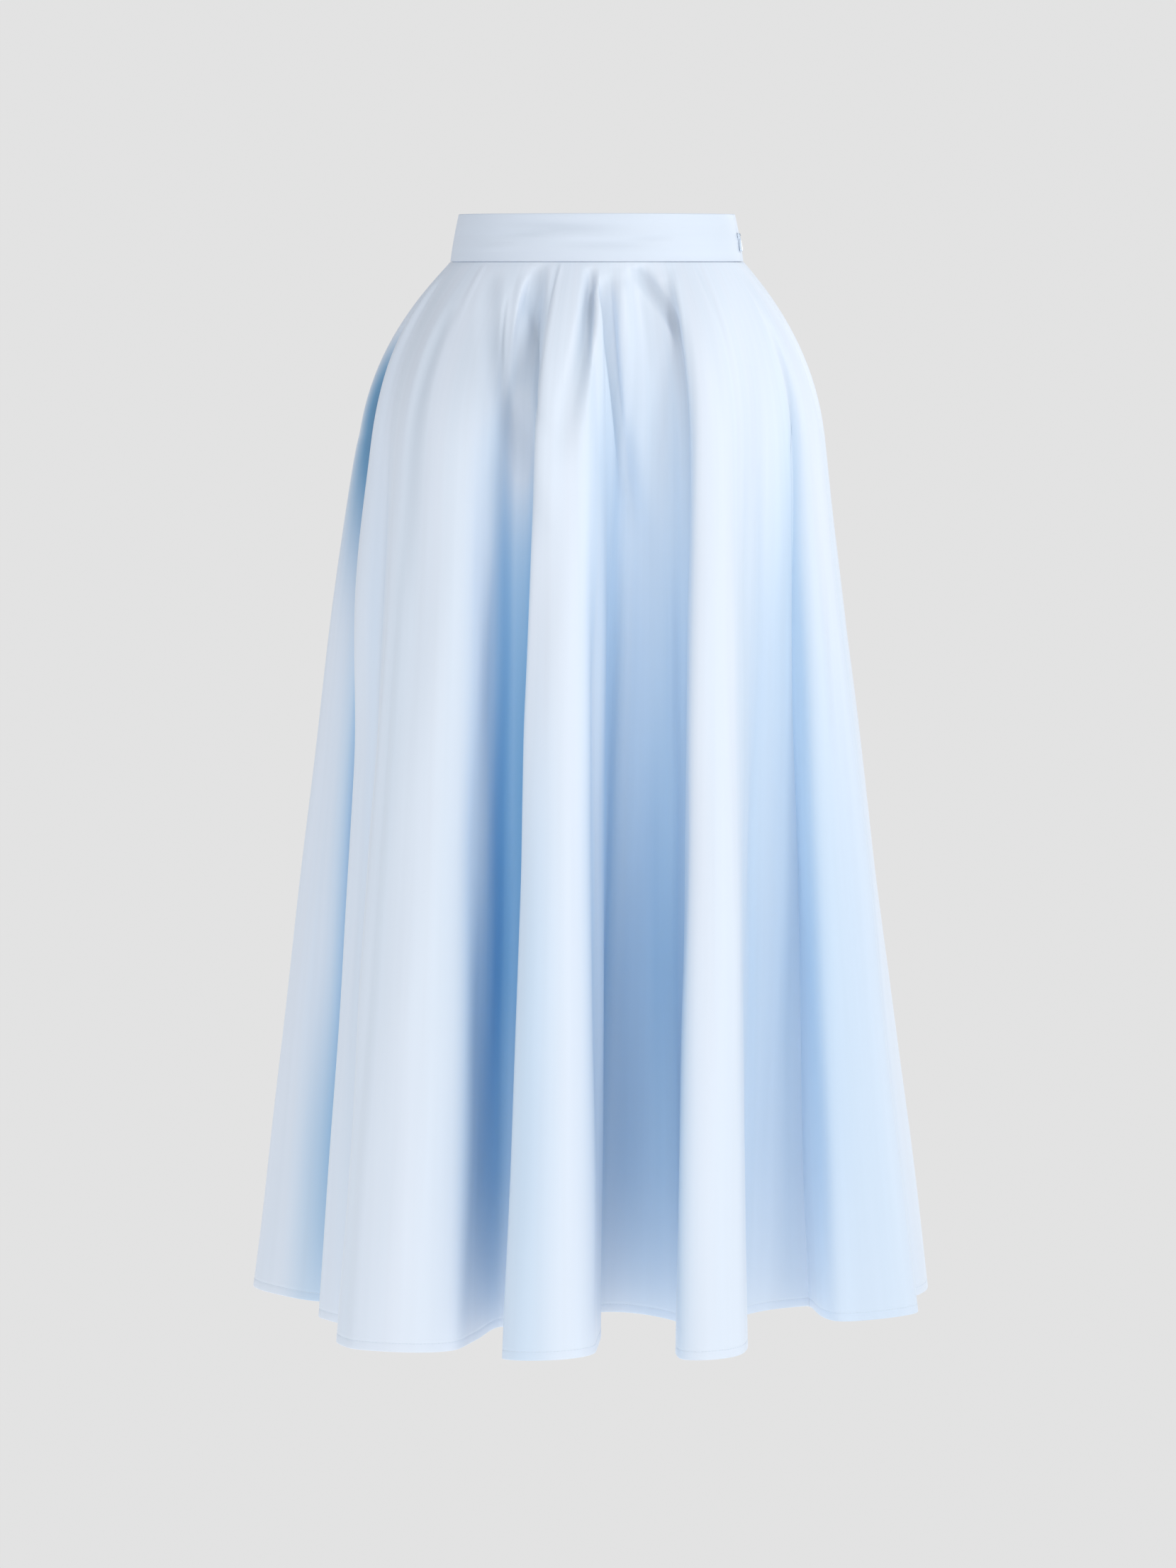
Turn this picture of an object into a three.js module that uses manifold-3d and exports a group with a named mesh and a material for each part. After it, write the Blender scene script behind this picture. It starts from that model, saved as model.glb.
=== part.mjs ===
// A circle skirt: two panels of a half-circle cut hang in deep flutes from a contoured waistband,
// with a concealed zip in the side seam on the wearer's left.
// Millimetres. The origin is the middle of the waist, +X the wearer's left, -Y the front, +Z up.
import * as THREE from 'three';
import { mergeVertices } from 'three/addons/utils/BufferGeometryUtils.js';
import Module from 'manifold-3d';

const wasm = await Module();
wasm.setup();

// Waistband: ovals at its top edge and at the waist seam, as half-width and half-depth.
const BAND_HEIGHT = 40;
const BAND_WALL = 2.4;
const BAND_CROWN = 0.5;
const BAND_TOP = { halfWidth: 116.7, front: 88, back: 88 };
const WAIST_SEAM = { halfWidth: 124, front: 93, back: 93 };

// Skirt cloth, with a narrow hem folded to the inside.
const SKIRT_DROP = 885;
const SKIRT_WALL = 1.2;
const HEM_FOLD = 8;
const HEM_WALL = 2.2;
const SEAM_GAP = 0.3;

// The cloth springs out over the hip. Below the hip each line from waist to hem is straight, and
// would run up to the spring oval at the height of the waist seam.
const HIP_DROP = 155;
const HIP_POWER = 2.25;
const SPRING = { halfWidth: 177, front: 138, back: 146 };
const MEAN_HEM = { halfWidth: 228, front: 205, back: 205 };

// Concealed zip. The slit stays open as far as the neck of the slider needs.
const ZIP_DROP = 140;
const ZIP_SLIT = 1.4;
const SLIT_TAPER = 12;
const TAPE_WIDTH = 24;
const TAPE_WALL = 1;
const TAPE_CLEAR = 0.85;
const TAPE_BELOW_TOP = 7;
const TAPE_PAST_ZIP = 12;
const TAPE_EASE = 26;
const HINGE_HEIGHT = 2;
const HINGE_OUT = 1.35;
const PIN_RADIUS = 0.5;
const RUNNING_GAP = 0.3;
const BRIDGE_HEIGHT = 4;
const EYE_WALL = 0.9;
const CHEEK_WALL = 0.6;
const CHEEK_RADIUS = 1;
const TAB_TOP = 2.6;
const TAB_LENGTH = 14;
const TAB_RADIUS = 2.3;
const TAB_THICKNESS = 1.8;
const TAB_EDGE = 0.3;

// Grid steps of the cloth.
const PANEL_COLUMNS = 80;
const HIP_ROWS = 9;
const HIP_ROW_POWER = 1.5;
const FLUTE_ROWS = 3;
const BAND_COLUMNS = 36;
const BAND_ROWS = 2;
const TAPE_COLUMNS = 4;
const TAPE_ROWS = 9;
const HEM_SAMPLES = 48;
const FACE_STEP = 0.05;
const WELD = 1e-4;

const named = (columns) => (row) => Object.fromEntries(columns.map((name, i) => [name, row[i]]));

// Flutes round the hem, anticlockwise seen from above, each a ridge followed by its hollow.
// root: bearing at the waist where it starts. spring: share of its depth that stands at the hip.
// bearing, reach: middle of its chord at the hem. breadth, twist: length and turn of that chord.
const FLUTES = [
  ['left_side', 8, 0, 0, 280, 58, -10],
  ['left_side_hollow', 22, 0.1, 20, 198, 36, 0],
  ['back_far_left', 37, 0.14, 37, 284, 74, 6],
  ['back_far_left_hollow', 55, 0.14, 54, 160, 44, 0],
  ['back_left', 72, 0.14, 71, 281, 82, -4],
  ['back_middle_hollow', 90, 0.14, 89, 136, 48, 0],
  ['back_right', 108, 0.14, 106, 285, 78, 4],
  ['back_far_right_hollow', 126, 0.14, 123, 156, 46, 0],
  ['back_far_right', 144, 0.12, 140, 281, 78, 0],
  ['right_seam_hollow', 166, 0.06, 160, 196, 36, 0],
  ['right_side', 176, 0.12, 184, 268, 92, 40],
  ['right_side_hollow', 183, 0.3, 193, 170, 40, 0],
  ['right_step', 191, 0.22, 207, 258, 20, 0],
  ['right_step_hollow', 198, 0.16, 214.5, 256, 14, 0],
  ['front_far_right', 224, 0.14, 234, 281, 92, 27],
  ['front_right_hollow', 249, 0.2, 246, 168, 26, 0],
  ['front_right', 261, 0.2, 261, 258, 82, 22],
  ['front_middle_hollow', 286, 0.16, 287, 118, 74, -46],
  ['front_left', 305, 0.18, 289.4, 275, 48, -4],
  ['front_left_hollow', 331, 0.06, 333, 176, 74, -26],
  ['front_far_left', 342, 0.04, 335, 262, 74, -40],
  ['left_seam_hollow', 349, 0.02, 349, 258, 16, 0],
].map(named(['name', 'root', 'spring', 'bearing', 'reach', 'breadth', 'twist']));

// Gathers under the waist seam. bearing, breadth: place and half-width in degrees. depth: height,
// negative for a tuck. from, to: drops where it starts and ends. lean: degrees in each 100 mm.
const GATHERS = [
  [177, 9, 5, 150, 820, 0],
  [228, 6, -4, 10, 220, 14],
  [242, 3.5, 3, 12, 170, 6],
  [247.5, 3.2, -4, 4, 240, 5],
  [252, 3, 2.5, 3, 120, 6],
  [268, 3.6, -6, 5, 170, -4],
  [271.5, 3, 3.5, 10, 150, -5],
  [273.5, 3.6, -4.5, 14, 260, 5],
  [279, 5, 3.5, 5, 220, 4],
  [284, 4.5, -5.5, 5, 115, 26],
  [68, 5, -3.5, 5, 200, 4],
  [78, 4, 3, 6, 150, 2],
  [85, 4, -4, 5, 200, 3],
  [96, 4.5, -4, 8, 220, -3],
  [104, 4, 3, 4, 150, 2],
  [113, 5, -3.5, 10, 190, -4],
].map(named(['bearing', 'breadth', 'depth', 'from', 'to', 'lean']));

const clothMaterial = () => new THREE.MeshStandardMaterial({
  color: '#cfe2f5', roughness: 0.42, metalness: 0, side: THREE.DoubleSide,
});
const tapeMaterial = () => new THREE.MeshStandardMaterial({
  color: '#d6e3f0', roughness: 0.8, metalness: 0,
});
const sliderMaterial = () => new THREE.MeshStandardMaterial({
  color: '#9aa6b2', roughness: 0.3, metalness: 0.9,
});
const pullMaterial = () => new THREE.MeshStandardMaterial({
  color: '#dde7f1', roughness: 0.35, metalness: 0.1,
});

const radians = THREE.MathUtils.degToRad;
const { clamp, lerp } = THREE.MathUtils;

// Point of an oval at a bearing in degrees, with its own depth in front and behind.
function oval({ halfWidth, front, back }, bearing) {
  const angle = radians(bearing);
  const depth = Math.sin(angle) > 0 ? back : front;
  return new THREE.Vector2(halfWidth * Math.cos(angle), depth * Math.sin(angle));
}

// Smooth curve through (x, y) knots that never overshoots them: a monotone cubic Hermite curve.
function monotoneCurve(x, y) {
  const step = x.slice(1).map((value, i) => value - x[i]);
  const slope = step.map((width, i) => (y[i + 1] - y[i]) / width);
  const tangent = x.map((_, i) => {
    if (i === 0 || i === x.length - 1) return slope[Math.min(i, slope.length - 1)];
    if (slope[i - 1] * slope[i] <= 0) return 0;
    const before = 2 * step[i] + step[i - 1];
    const after = step[i] + 2 * step[i - 1];
    return (before + after) / (before / slope[i - 1] + after / slope[i]);
  });
  return (at) => {
    const found = x.findIndex((value) => value > at);
    const i = clamp((found < 0 ? x.length : found) - 1, 0, step.length - 1);
    const t = (at - x[i]) / step[i];
    const rise = t * (1 - t) ** 2 * tangent[i] + t * t * (t - 1) * tangent[i + 1];
    return (1 + 2 * t) * (1 - t) ** 2 * y[i] + t * t * (3 - 2 * t) * y[i + 1] + step[i] * rise;
  };
}

// The hem is a closed curve through the chord ends of all ridges and hollows.
function chordEnds({ bearing, reach, breadth, twist }) {
  const up = new THREE.Vector3(0, 0, 1);
  const middle = new THREE.Vector3(reach, 0, 0).applyAxisAngle(up, radians(bearing));
  const half = new THREE.Vector3(breadth / 2, 0, 0).applyAxisAngle(up, radians(bearing + 90 + twist));
  return [middle.clone().sub(half), middle.clone().add(half)];
}

const hem = new THREE.CatmullRomCurve3(FLUTES.flatMap(chordEnds), true, 'centripetal');
hem.arcLengthDivisions = FLUTES.length * 2 * HEM_SAMPLES;
const hemLengths = hem.getLengths();
const hemLength = hemLengths.at(-1);
const rowPlaces = FLUTES.map((_, i) => hemLengths[(2 * i + 0.5) * HEM_SAMPLES]);

// Value of a column of the flute table anywhere round the hem, growing by turn in each round.
function roundHem(column, turn) {
  const values = FLUTES.map((row) => row[column]);
  const rounds = [-1, 0, 1];
  return monotoneCurve(
    rounds.flatMap((round) => rowPlaces.map((place) => place + round * hemLength)),
    rounds.flatMap((round) => values.map((value) => value + round * turn)),
  );
}
const rootAt = roundHem('root', 360);
const springAt = roundHem('spring', 0);

// Height of the gathers at a bearing and a drop: a cosine bell across, a skewed arch along.
function gatherHeight(root, drop) {
  return GATHERS.reduce((sum, { bearing, breadth, depth, from, to, lean }) => {
    const aside = THREE.MathUtils.euclideanModulo(root - bearing - lean * drop / 100 + 180, 360) - 180;
    const across = 0.5 * (1 + Math.cos(Math.PI * clamp(aside / breadth, -1, 1)));
    const along = Math.sin(Math.PI * Math.sqrt(clamp((drop - from) / (to - from), 0, 1)));
    return sum + depth * across * along;
  }, 0);
}

// Outer face of the skirt at a place along the hem and a drop below the waist seam.
function skirtPoint(place, drop) {
  const wrapped = THREE.MathUtils.euclideanModulo(place, hemLength);
  const foot = hem.getPointAt(wrapped / hemLength);
  const root = rootAt(place);
  const waist = oval(WAIST_SEAM, root);
  const top = oval(SPRING, root);
  top.addScaledVector(new THREE.Vector2(foot.x, foot.y).sub(oval(MEAN_HEM, root)), springAt(place));
  const fall = drop / SKIRT_DROP;
  const hip = Math.max(1 - drop / HIP_DROP, 0) ** HIP_POWER;
  const out = new THREE.Vector2(waist.x / WAIST_SEAM.halfWidth ** 2, waist.y / WAIST_SEAM.front ** 2);
  out.normalize();
  const height = gatherHeight(root, drop);
  return new THREE.Vector3(
    lerp(top.x, foot.x, fall) - (top.x - waist.x) * hip + out.x * height,
    lerp(top.y, foot.y, fall) - (top.y - waist.y) * hip + out.y * height,
    -BAND_HEIGHT / 2 - drop,
  );
}

// Outer face of the waistband at a bearing and a depth below its top edge.
function bandPoint(bearing, depth) {
  const share = depth / BAND_HEIGHT;
  const edge = oval(BAND_TOP, bearing).lerp(oval(WAIST_SEAM, bearing), share);
  edge.setLength(edge.length() + BAND_CROWN * (1 - (2 * share - 1) ** 2));
  return new THREE.Vector3(edge.x, edge.y, BAND_HEIGHT / 2 - depth);
}

// Directions on a face: along it anticlockwise, and out of it.
function faceFrame(face, across, down) {
  const along = face(across + FACE_STEP, down).sub(face(across - FACE_STEP, down)).normalize();
  const fall = face(across, down + FACE_STEP).sub(face(across, down - FACE_STEP));
  return { along, out: fall.cross(along).normalize() };
}

// Closed wall between an outer grid and an inner grid of points, with rows that run down.
function wallGeometry(outer, inner) {
  const rows = outer.length;
  const columns = outer[0].length;
  const points = [...outer.flat(), ...inner.flat()];
  const face = (row, column) => row * columns + column;
  const back = (row, column) => rows * columns + face(row, column);
  const index = [];
  const quad = (a, b, c, d) => index.push(a, b, d, b, c, d);
  for (let row = 0; row + 1 < rows; row += 1) {
    for (let column = 0; column + 1 < columns; column += 1) {
      quad(face(row, column), face(row + 1, column), face(row + 1, column + 1), face(row, column + 1));
      quad(back(row, column), back(row, column + 1), back(row + 1, column + 1), back(row + 1, column));
    }
    const last = columns - 1;
    quad(face(row, 0), back(row, 0), back(row + 1, 0), face(row + 1, 0));
    quad(face(row, last), face(row + 1, last), back(row + 1, last), back(row, last));
  }
  for (let column = 0; column + 1 < columns; column += 1) {
    const last = rows - 1;
    quad(face(0, column), face(0, column + 1), back(0, column + 1), back(0, column));
    quad(face(last, column), back(last, column), back(last, column + 1), face(last, column + 1));
  }
  const geometry = new THREE.BufferGeometry();
  geometry.setFromPoints(points);
  geometry.setIndex(index);
  geometry.computeVertexNormals();
  return geometry;
}

const steps = (count) => Array.from({ length: count + 1 }, (_, i) => i / count);

// Drops of the panel's rows: close together over the hip, a few down the flutes, two at the hem fold.
function panelDrops() {
  const flutesEnd = SKIRT_DROP - HEM_FOLD - HEM_WALL;
  const hipRows = steps(HIP_ROWS).map((share) => SEAM_GAP + (HIP_DROP - SEAM_GAP) * share ** HIP_ROW_POWER);
  const fluteRows = steps(FLUTE_ROWS).slice(1).map((share) => lerp(HIP_DROP, flutesEnd, share));
  return [...hipRows, ...fluteRows, SKIRT_DROP - HEM_FOLD, SKIRT_DROP];
}

// Width of the side seam's gap at a drop, wider along the zip.
function seamWidth(drop, hasZip) {
  const open = hasZip ? clamp((ZIP_DROP - drop) / SLIT_TAPER, 0, 1) : 0;
  return lerp(SEAM_GAP, ZIP_SLIT, open);
}

// One skirt panel between two places along the hem, with the zip at its start or end.
function panelGeometry(start, end, zipAtStart) {
  const drops = panelDrops();
  const outer = [];
  const inner = [];
  for (const drop of drops) {
    const wall = drop >= SKIRT_DROP - HEM_FOLD ? HEM_WALL : SKIRT_WALL;
    const columns = steps(PANEL_COLUMNS).map((share) => {
      const place = lerp(start, end, share);
      const { along, out } = faceFrame(skirtPoint, place, drop);
      const edge = share === 0 ? 1 : share === 1 ? -1 : 0;
      const zip = share === 0 ? zipAtStart : !zipAtStart;
      const point = skirtPoint(place, drop).addScaledVector(along, edge * seamWidth(drop, zip) / 2);
      if (drop > HIP_DROP) out.setZ(0).normalize();
      return { point, within: point.clone().addScaledVector(out, -wall) };
    });
    outer.push(columns.map(({ point }) => point));
    inner.push(columns.map(({ within }) => within));
  }
  return wallGeometry(outer, inner);
}

// Half of the waistband between two bearings, with the zip at its start or end.
function bandGeometry(start, end, zipAtStart) {
  const grid = steps(BAND_ROWS).map((down) => steps(BAND_COLUMNS).map((share) => {
    const bearing = lerp(start, end, share);
    const depth = down * BAND_HEIGHT;
    const { along, out } = faceFrame(bandPoint, bearing, depth);
    const edge = share === 0 ? 1 : share === 1 ? -1 : 0;
    const zip = share === 0 ? zipAtStart : !zipAtStart;
    const point = bandPoint(bearing, depth).addScaledVector(along, edge * seamWidth(0, zip) / 2);
    return { point, within: point.clone().addScaledVector(out.setZ(0).normalize(), -BAND_WALL) };
  }));
  return wallGeometry(
    grid.map((row) => row.map(({ point }) => point)),
    grid.map((row) => row.map(({ within }) => within)),
  );
}

const zipRow = FLUTES.findIndex(({ name }) => name === 'left_seam_hollow');
const farRow = FLUTES.findIndex(({ name }) => name === 'right_seam_hollow');
const zipPlace = rowPlaces[zipRow];
const farPlace = rowPlaces[farRow];
const zipBearing = FLUTES[zipRow].root;
const farBearing = FLUTES[farRow].root;

// Tape of the zip: the inner faces of band and panels moved in, eased past the edge of the band.
function tapeGeometry() {
  const seat = BAND_WALL + 2 * RUNNING_GAP;
  const bandDepths = [TAPE_BELOW_TOP, BAND_HEIGHT / 2, BAND_HEIGHT - TAPE_WALL];
  const tapeDrops = steps(TAPE_ROWS - 1).map(
    (share) => lerp(2 * TAPE_WALL, ZIP_DROP + TAPE_PAST_ZIP, share ** HIP_ROW_POWER),
  );
  const lines = [
    ...bandDepths.map((depth) => ({ face: bandPoint, middle: zipBearing, down: depth, inset: seat })),
    ...tapeDrops.map((drop) => {
      const ease = Math.max(1 - drop / TAPE_EASE, 0) ** 2;
      const inset = SKIRT_WALL + TAPE_CLEAR + ease * (seat - SKIRT_WALL);
      return { face: skirtPoint, middle: zipPlace, down: drop, inset };
    }),
  ];
  const grid = lines.map(({ face, middle, down, inset }) => {
    const reach = face(middle + FACE_STEP, down).distanceTo(face(middle - FACE_STEP, down));
    return steps(TAPE_COLUMNS).map((share) => {
      const across = middle + (share - 0.5) * TAPE_WIDTH * 2 * FACE_STEP / reach;
      const { out } = faceFrame(face, across, down);
      const point = face(across, down).addScaledVector(out, -inset);
      return { point, within: point.clone().addScaledVector(out, -TAPE_WALL) };
    });
  });
  return wallGeometry(
    grid.map((row) => row.map(({ point }) => point)),
    grid.map((row) => row.map(({ within }) => within)),
  );
}

// Closed geometry as a solid for joining, and back.
function solid(geometry) {
  const bare = geometry.clone();
  bare.deleteAttribute('normal');
  bare.deleteAttribute('uv');
  const merged = mergeVertices(bare, WELD);
  const mesh = new wasm.Mesh({
    numProp: 3,
    vertProperties: new Float32Array(merged.attributes.position.array),
    triVerts: new Uint32Array(merged.index.array),
  });
  return new wasm.Manifold(mesh);
}

function solidGeometry(manifold) {
  const mesh = manifold.getMesh();
  const geometry = new THREE.BufferGeometry();
  geometry.setAttribute('position', new THREE.BufferAttribute(mesh.vertProperties, 3));
  geometry.setIndex(new THREE.BufferAttribute(mesh.triVerts, 1));
  geometry.computeVertexNormals();
  return geometry;
}

// Flat piece of the zip: its side outline, with x outwards and y up, given a thickness along the band.
function sidePlate(shape, thickness, middle) {
  const geometry = new THREE.ExtrudeGeometry(shape, {
    depth: thickness, bevelEnabled: false, curveSegments: 8,
  });
  geometry.translate(0, 0, -thickness / 2);
  geometry.rotateX(Math.PI / 2);
  geometry.translate(0, middle, 0);
  return geometry;
}

const eyeRadius = PIN_RADIUS + RUNNING_GAP;
const bridgeWall = ZIP_SLIT - 2 * RUNNING_GAP;

// Bridge of the slider: a thin neck in the slit, ending outside in an eye for the pull.
function bridgeGeometry() {
  const half = BRIDGE_HEIGHT / 2;
  const inside = -BAND_WALL - RUNNING_GAP;
  const nose = eyeRadius + EYE_WALL;
  const shape = new THREE.Shape();
  shape.moveTo(inside, half);
  shape.lineTo(inside, -half);
  shape.lineTo(0, -half);
  shape.absarc(HINGE_OUT, 0, nose, -Math.PI / 2, Math.PI / 2, false);
  shape.lineTo(0, half);
  shape.closePath();
  const eye = new THREE.Path();
  eye.absarc(HINGE_OUT, 0, eyeRadius, 0, 2 * Math.PI, true);
  shape.holes.push(eye);
  return sidePlate(shape, bridgeWall, 0);
}

// Pull tab: a drop-shaped plate that hangs by two cheeks and a pin through the eye.
function pullGeometry() {
  const shoulder = bridgeWall / 2 + RUNNING_GAP + CHEEK_WALL;
  const foot = new THREE.Vector2(0, -TAB_LENGTH + TAB_RADIUS);
  const spread = Math.asin((TAB_RADIUS - shoulder) / (TAB_LENGTH - TAB_RADIUS - TAB_TOP));
  const tab = new THREE.Shape();
  tab.moveTo(-shoulder, -TAB_TOP);
  tab.absarc(foot.x, foot.y, TAB_RADIUS - TAB_EDGE, Math.PI - spread, 2 * Math.PI + spread, false);
  tab.lineTo(shoulder, -TAB_TOP);
  tab.closePath();
  const plate = new THREE.ExtrudeGeometry(tab, {
    depth: TAB_THICKNESS - 2 * TAB_EDGE,
    bevelEnabled: true,
    bevelThickness: TAB_EDGE,
    bevelSize: TAB_EDGE,
    bevelOffset: 0,
    bevelSegments: 2,
    curveSegments: 10,
  });
  plate.translate(0, 0, TAB_EDGE - TAB_THICKNESS / 2);
  plate.rotateX(Math.PI / 2);
  plate.rotateZ(Math.PI / 2);
  plate.translate(HINGE_OUT, 0, 0);

  const cheek = new THREE.Shape();
  cheek.absarc(HINGE_OUT, 0, CHEEK_RADIUS, 0, Math.PI, false);
  cheek.lineTo(HINGE_OUT - CHEEK_RADIUS / 2, -TAB_TOP - CHEEK_RADIUS);
  cheek.lineTo(HINGE_OUT + CHEEK_RADIUS / 2, -TAB_TOP - CHEEK_RADIUS);
  cheek.closePath();
  const cheekMiddle = shoulder - CHEEK_WALL / 2;
  const pin = new THREE.CylinderGeometry(PIN_RADIUS, PIN_RADIUS, 2 * cheekMiddle, 16);
  pin.translate(HINGE_OUT, 0, 0);
  const joined = [-cheekMiddle, cheekMiddle].reduce(
    (sum, middle) => sum.add(solid(sidePlate(cheek, CHEEK_WALL, middle))),
    solid(plate).add(solid(pin)),
  );
  return solidGeometry(joined);
}

function piece(name, geometry, material) {
  const mesh = new THREE.Mesh(geometry, material);
  mesh.name = name;
  return mesh;
}

// Slider and pull share a frame on the band: x out of the cloth, y along the band, z up its slope.
const zipHead = new THREE.Group();
const hingeDepth = BAND_HEIGHT / 2 - HINGE_HEIGHT;
const { along: zipAlong, out: zipOut } = faceFrame(bandPoint, zipBearing, hingeDepth);
const zipUp = zipOut.clone().cross(zipAlong);
zipHead.position.copy(bandPoint(zipBearing, hingeDepth));
zipHead.setRotationFromMatrix(new THREE.Matrix4().makeBasis(zipOut, zipAlong, zipUp));
zipHead.add(piece('zip_slider', bridgeGeometry(), sliderMaterial()));
zipHead.add(piece('zip_pull', pullGeometry(), pullMaterial()));

const skirt = new THREE.Group();
skirt.add(piece('waistband_back', bandGeometry(zipBearing - 360, farBearing, true), clothMaterial()));
skirt.add(piece('waistband_front', bandGeometry(farBearing, zipBearing, false), clothMaterial()));
skirt.add(piece('skirt_back', panelGeometry(zipPlace - hemLength, farPlace, true), clothMaterial()));
skirt.add(piece('skirt_front', panelGeometry(farPlace, zipPlace, false), clothMaterial()));
skirt.add(piece('zip_tape', tapeGeometry(), tapeMaterial()));
skirt.add(zipHead);

export default skirt;
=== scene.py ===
# Pale blue circle skirt of satin-weave cloth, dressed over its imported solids.
# Metres, with +Z up, -Y the front, +X the wearer's left and the origin in the middle of the waist.
import math

import bpy
import numpy as np
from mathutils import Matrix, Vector


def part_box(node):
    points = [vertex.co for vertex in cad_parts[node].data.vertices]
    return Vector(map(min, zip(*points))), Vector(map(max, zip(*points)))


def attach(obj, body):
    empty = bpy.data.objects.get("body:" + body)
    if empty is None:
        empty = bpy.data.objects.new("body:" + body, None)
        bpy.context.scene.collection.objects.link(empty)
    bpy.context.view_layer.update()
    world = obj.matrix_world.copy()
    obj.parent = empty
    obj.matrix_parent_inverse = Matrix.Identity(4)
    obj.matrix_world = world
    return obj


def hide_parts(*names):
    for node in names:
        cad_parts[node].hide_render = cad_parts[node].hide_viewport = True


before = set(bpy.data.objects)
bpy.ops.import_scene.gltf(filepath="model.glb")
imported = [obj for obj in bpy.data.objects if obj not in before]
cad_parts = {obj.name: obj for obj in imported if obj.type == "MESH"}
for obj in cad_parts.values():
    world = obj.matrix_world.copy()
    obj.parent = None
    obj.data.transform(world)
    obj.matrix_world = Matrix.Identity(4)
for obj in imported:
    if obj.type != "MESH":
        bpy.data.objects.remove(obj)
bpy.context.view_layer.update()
scene = bpy.context.scene


# Skirt panels: front and back quarter rings of pale blue satin-weave cotton, cut in the flat.
# Their short inner arcs are sewn into the waistband and their straight edges to each other, so
# that the cloth springs out over the hip and hangs in deep flutes to a narrow stitched hem.
SEAM_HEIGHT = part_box("waistband_front")[0].z
SKIRT_DROP = SEAM_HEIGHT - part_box("skirt_front")[0].z
FLAT_INNER_RADIUS = 0.223
FLAT_OUTER_RADIUS = 1.132
HEM_SAMPLES = 48
HIP_DROP = 0.155
HIP_POWER = 2.25

# Ovals of the waist seam, of the line that the flutes spring from and of the mean hem: half-width,
# front depth and back depth.
WAIST_SEAM = (0.124, 0.093, 0.093)
SPRING = (0.177, 0.138, 0.146)
MEAN_HEM = (0.228, 0.205, 0.205)


def columns(*names):
    """Number columns of a table, by name."""
    return [(name, float) for name in names]


# Flutes round the hem, anticlockwise seen from above, each a ridge followed by its hollow.
# root: bearing at the waist. spring: share of its depth that stands at the hip. bearing, reach:
# middle of its chord at the hem. breadth, twist: length and turn of that chord. tint: share of the
# painted fold shade, a deeper blue standing in for the shadow in the fold, that it takes on.
FLUTES = np.array([
    ("left_side", 8, 0, 0, 0.280, 0.058, -10, 0.8),
    ("left_side_hollow", 22, 0.1, 20, 0.198, 0.036, 0, 0.8),
    ("back_far_left", 37, 0.14, 37, 0.284, 0.074, 6, 0.9),
    ("back_far_left_hollow", 55, 0.14, 54, 0.160, 0.044, 0, 0.9),
    ("back_left", 72, 0.14, 71, 0.281, 0.082, -4, 0.9),
    ("back_middle_hollow", 90, 0.14, 89, 0.136, 0.048, 0, 0.9),
    ("back_right", 108, 0.14, 106, 0.285, 0.078, 4, 0.9),
    ("back_far_right_hollow", 126, 0.14, 123, 0.156, 0.046, 0, 0.9),
    ("back_far_right", 144, 0.12, 140, 0.281, 0.078, 0, 0.9),
    ("right_seam_hollow", 166, 0.06, 160, 0.196, 0.036, 0, 0.8),
    ("right_side", 176, 0.12, 184, 0.268, 0.092, 40, 1),
    ("right_side_hollow", 183, 0.3, 193, 0.170, 0.040, 0, 1.1),
    ("right_step", 191, 0.22, 207, 0.258, 0.020, 0, 0.8),
    ("right_step_hollow", 198, 0.16, 214.5, 0.256, 0.014, 0, 0.8),
    ("front_far_right", 224, 0.14, 234, 0.281, 0.092, 27, 0.5),
    ("front_right_hollow", 249, 0.2, 246, 0.168, 0.026, 0, 1.1),
    ("front_right", 261, 0.2, 261, 0.258, 0.082, 22, 1),
    ("front_middle_hollow", 286, 0.16, 287, 0.118, 0.074, -46, 0.6),
    ("front_left", 305, 0.18, 289.4, 0.275, 0.048, -4, 0.6),
    ("front_left_hollow", 331, 0.06, 333, 0.176, 0.074, -26, 0.3),
    ("front_far_left", 342, 0.04, 335, 0.262, 0.074, -40, 0.3),
    ("left_seam_hollow", 349, 0.02, 349, 0.258, 0.016, 0, 0.5),
], dtype=[("name", "U24")] + columns(
    "root", "spring", "bearing", "reach", "breadth", "twist", "tint"))

# Gathers under the waist seam. bearing, breadth: place and half-width in degrees round the waist.
# depth: height, negative for a tuck. start, end: drops where it runs. lean: degrees a metre.
GATHERS = np.array([
    (177, 9, 0.005, 0.150, 0.820, 0),
    (228, 6, -0.004, 0.010, 0.220, 140),
    (242, 3.5, 0.003, 0.012, 0.170, 60),
    (247.5, 3.2, -0.004, 0.004, 0.240, 50),
    (252, 3, 0.0025, 0.003, 0.120, 60),
    (268, 3.6, -0.006, 0.005, 0.170, -40),
    (271.5, 3, 0.0035, 0.010, 0.150, -50),
    (273.5, 3.6, -0.0045, 0.014, 0.260, 50),
    (279, 5, 0.0035, 0.005, 0.220, 40),
    (284, 4.5, -0.0048, 0.005, 0.075, 210),
    (68, 5, -0.0035, 0.005, 0.200, 40),
    (78, 4, 0.003, 0.006, 0.150, 20),
    (85, 4, -0.004, 0.005, 0.200, 30),
    (96, 4.5, -0.004, 0.008, 0.220, -30),
    (104, 4, 0.003, 0.004, 0.150, 20),
    (113, 5, -0.0035, 0.010, 0.190, -40),
], dtype=columns("bearing", "breadth", "depth", "start", "end", "lean"))


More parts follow.
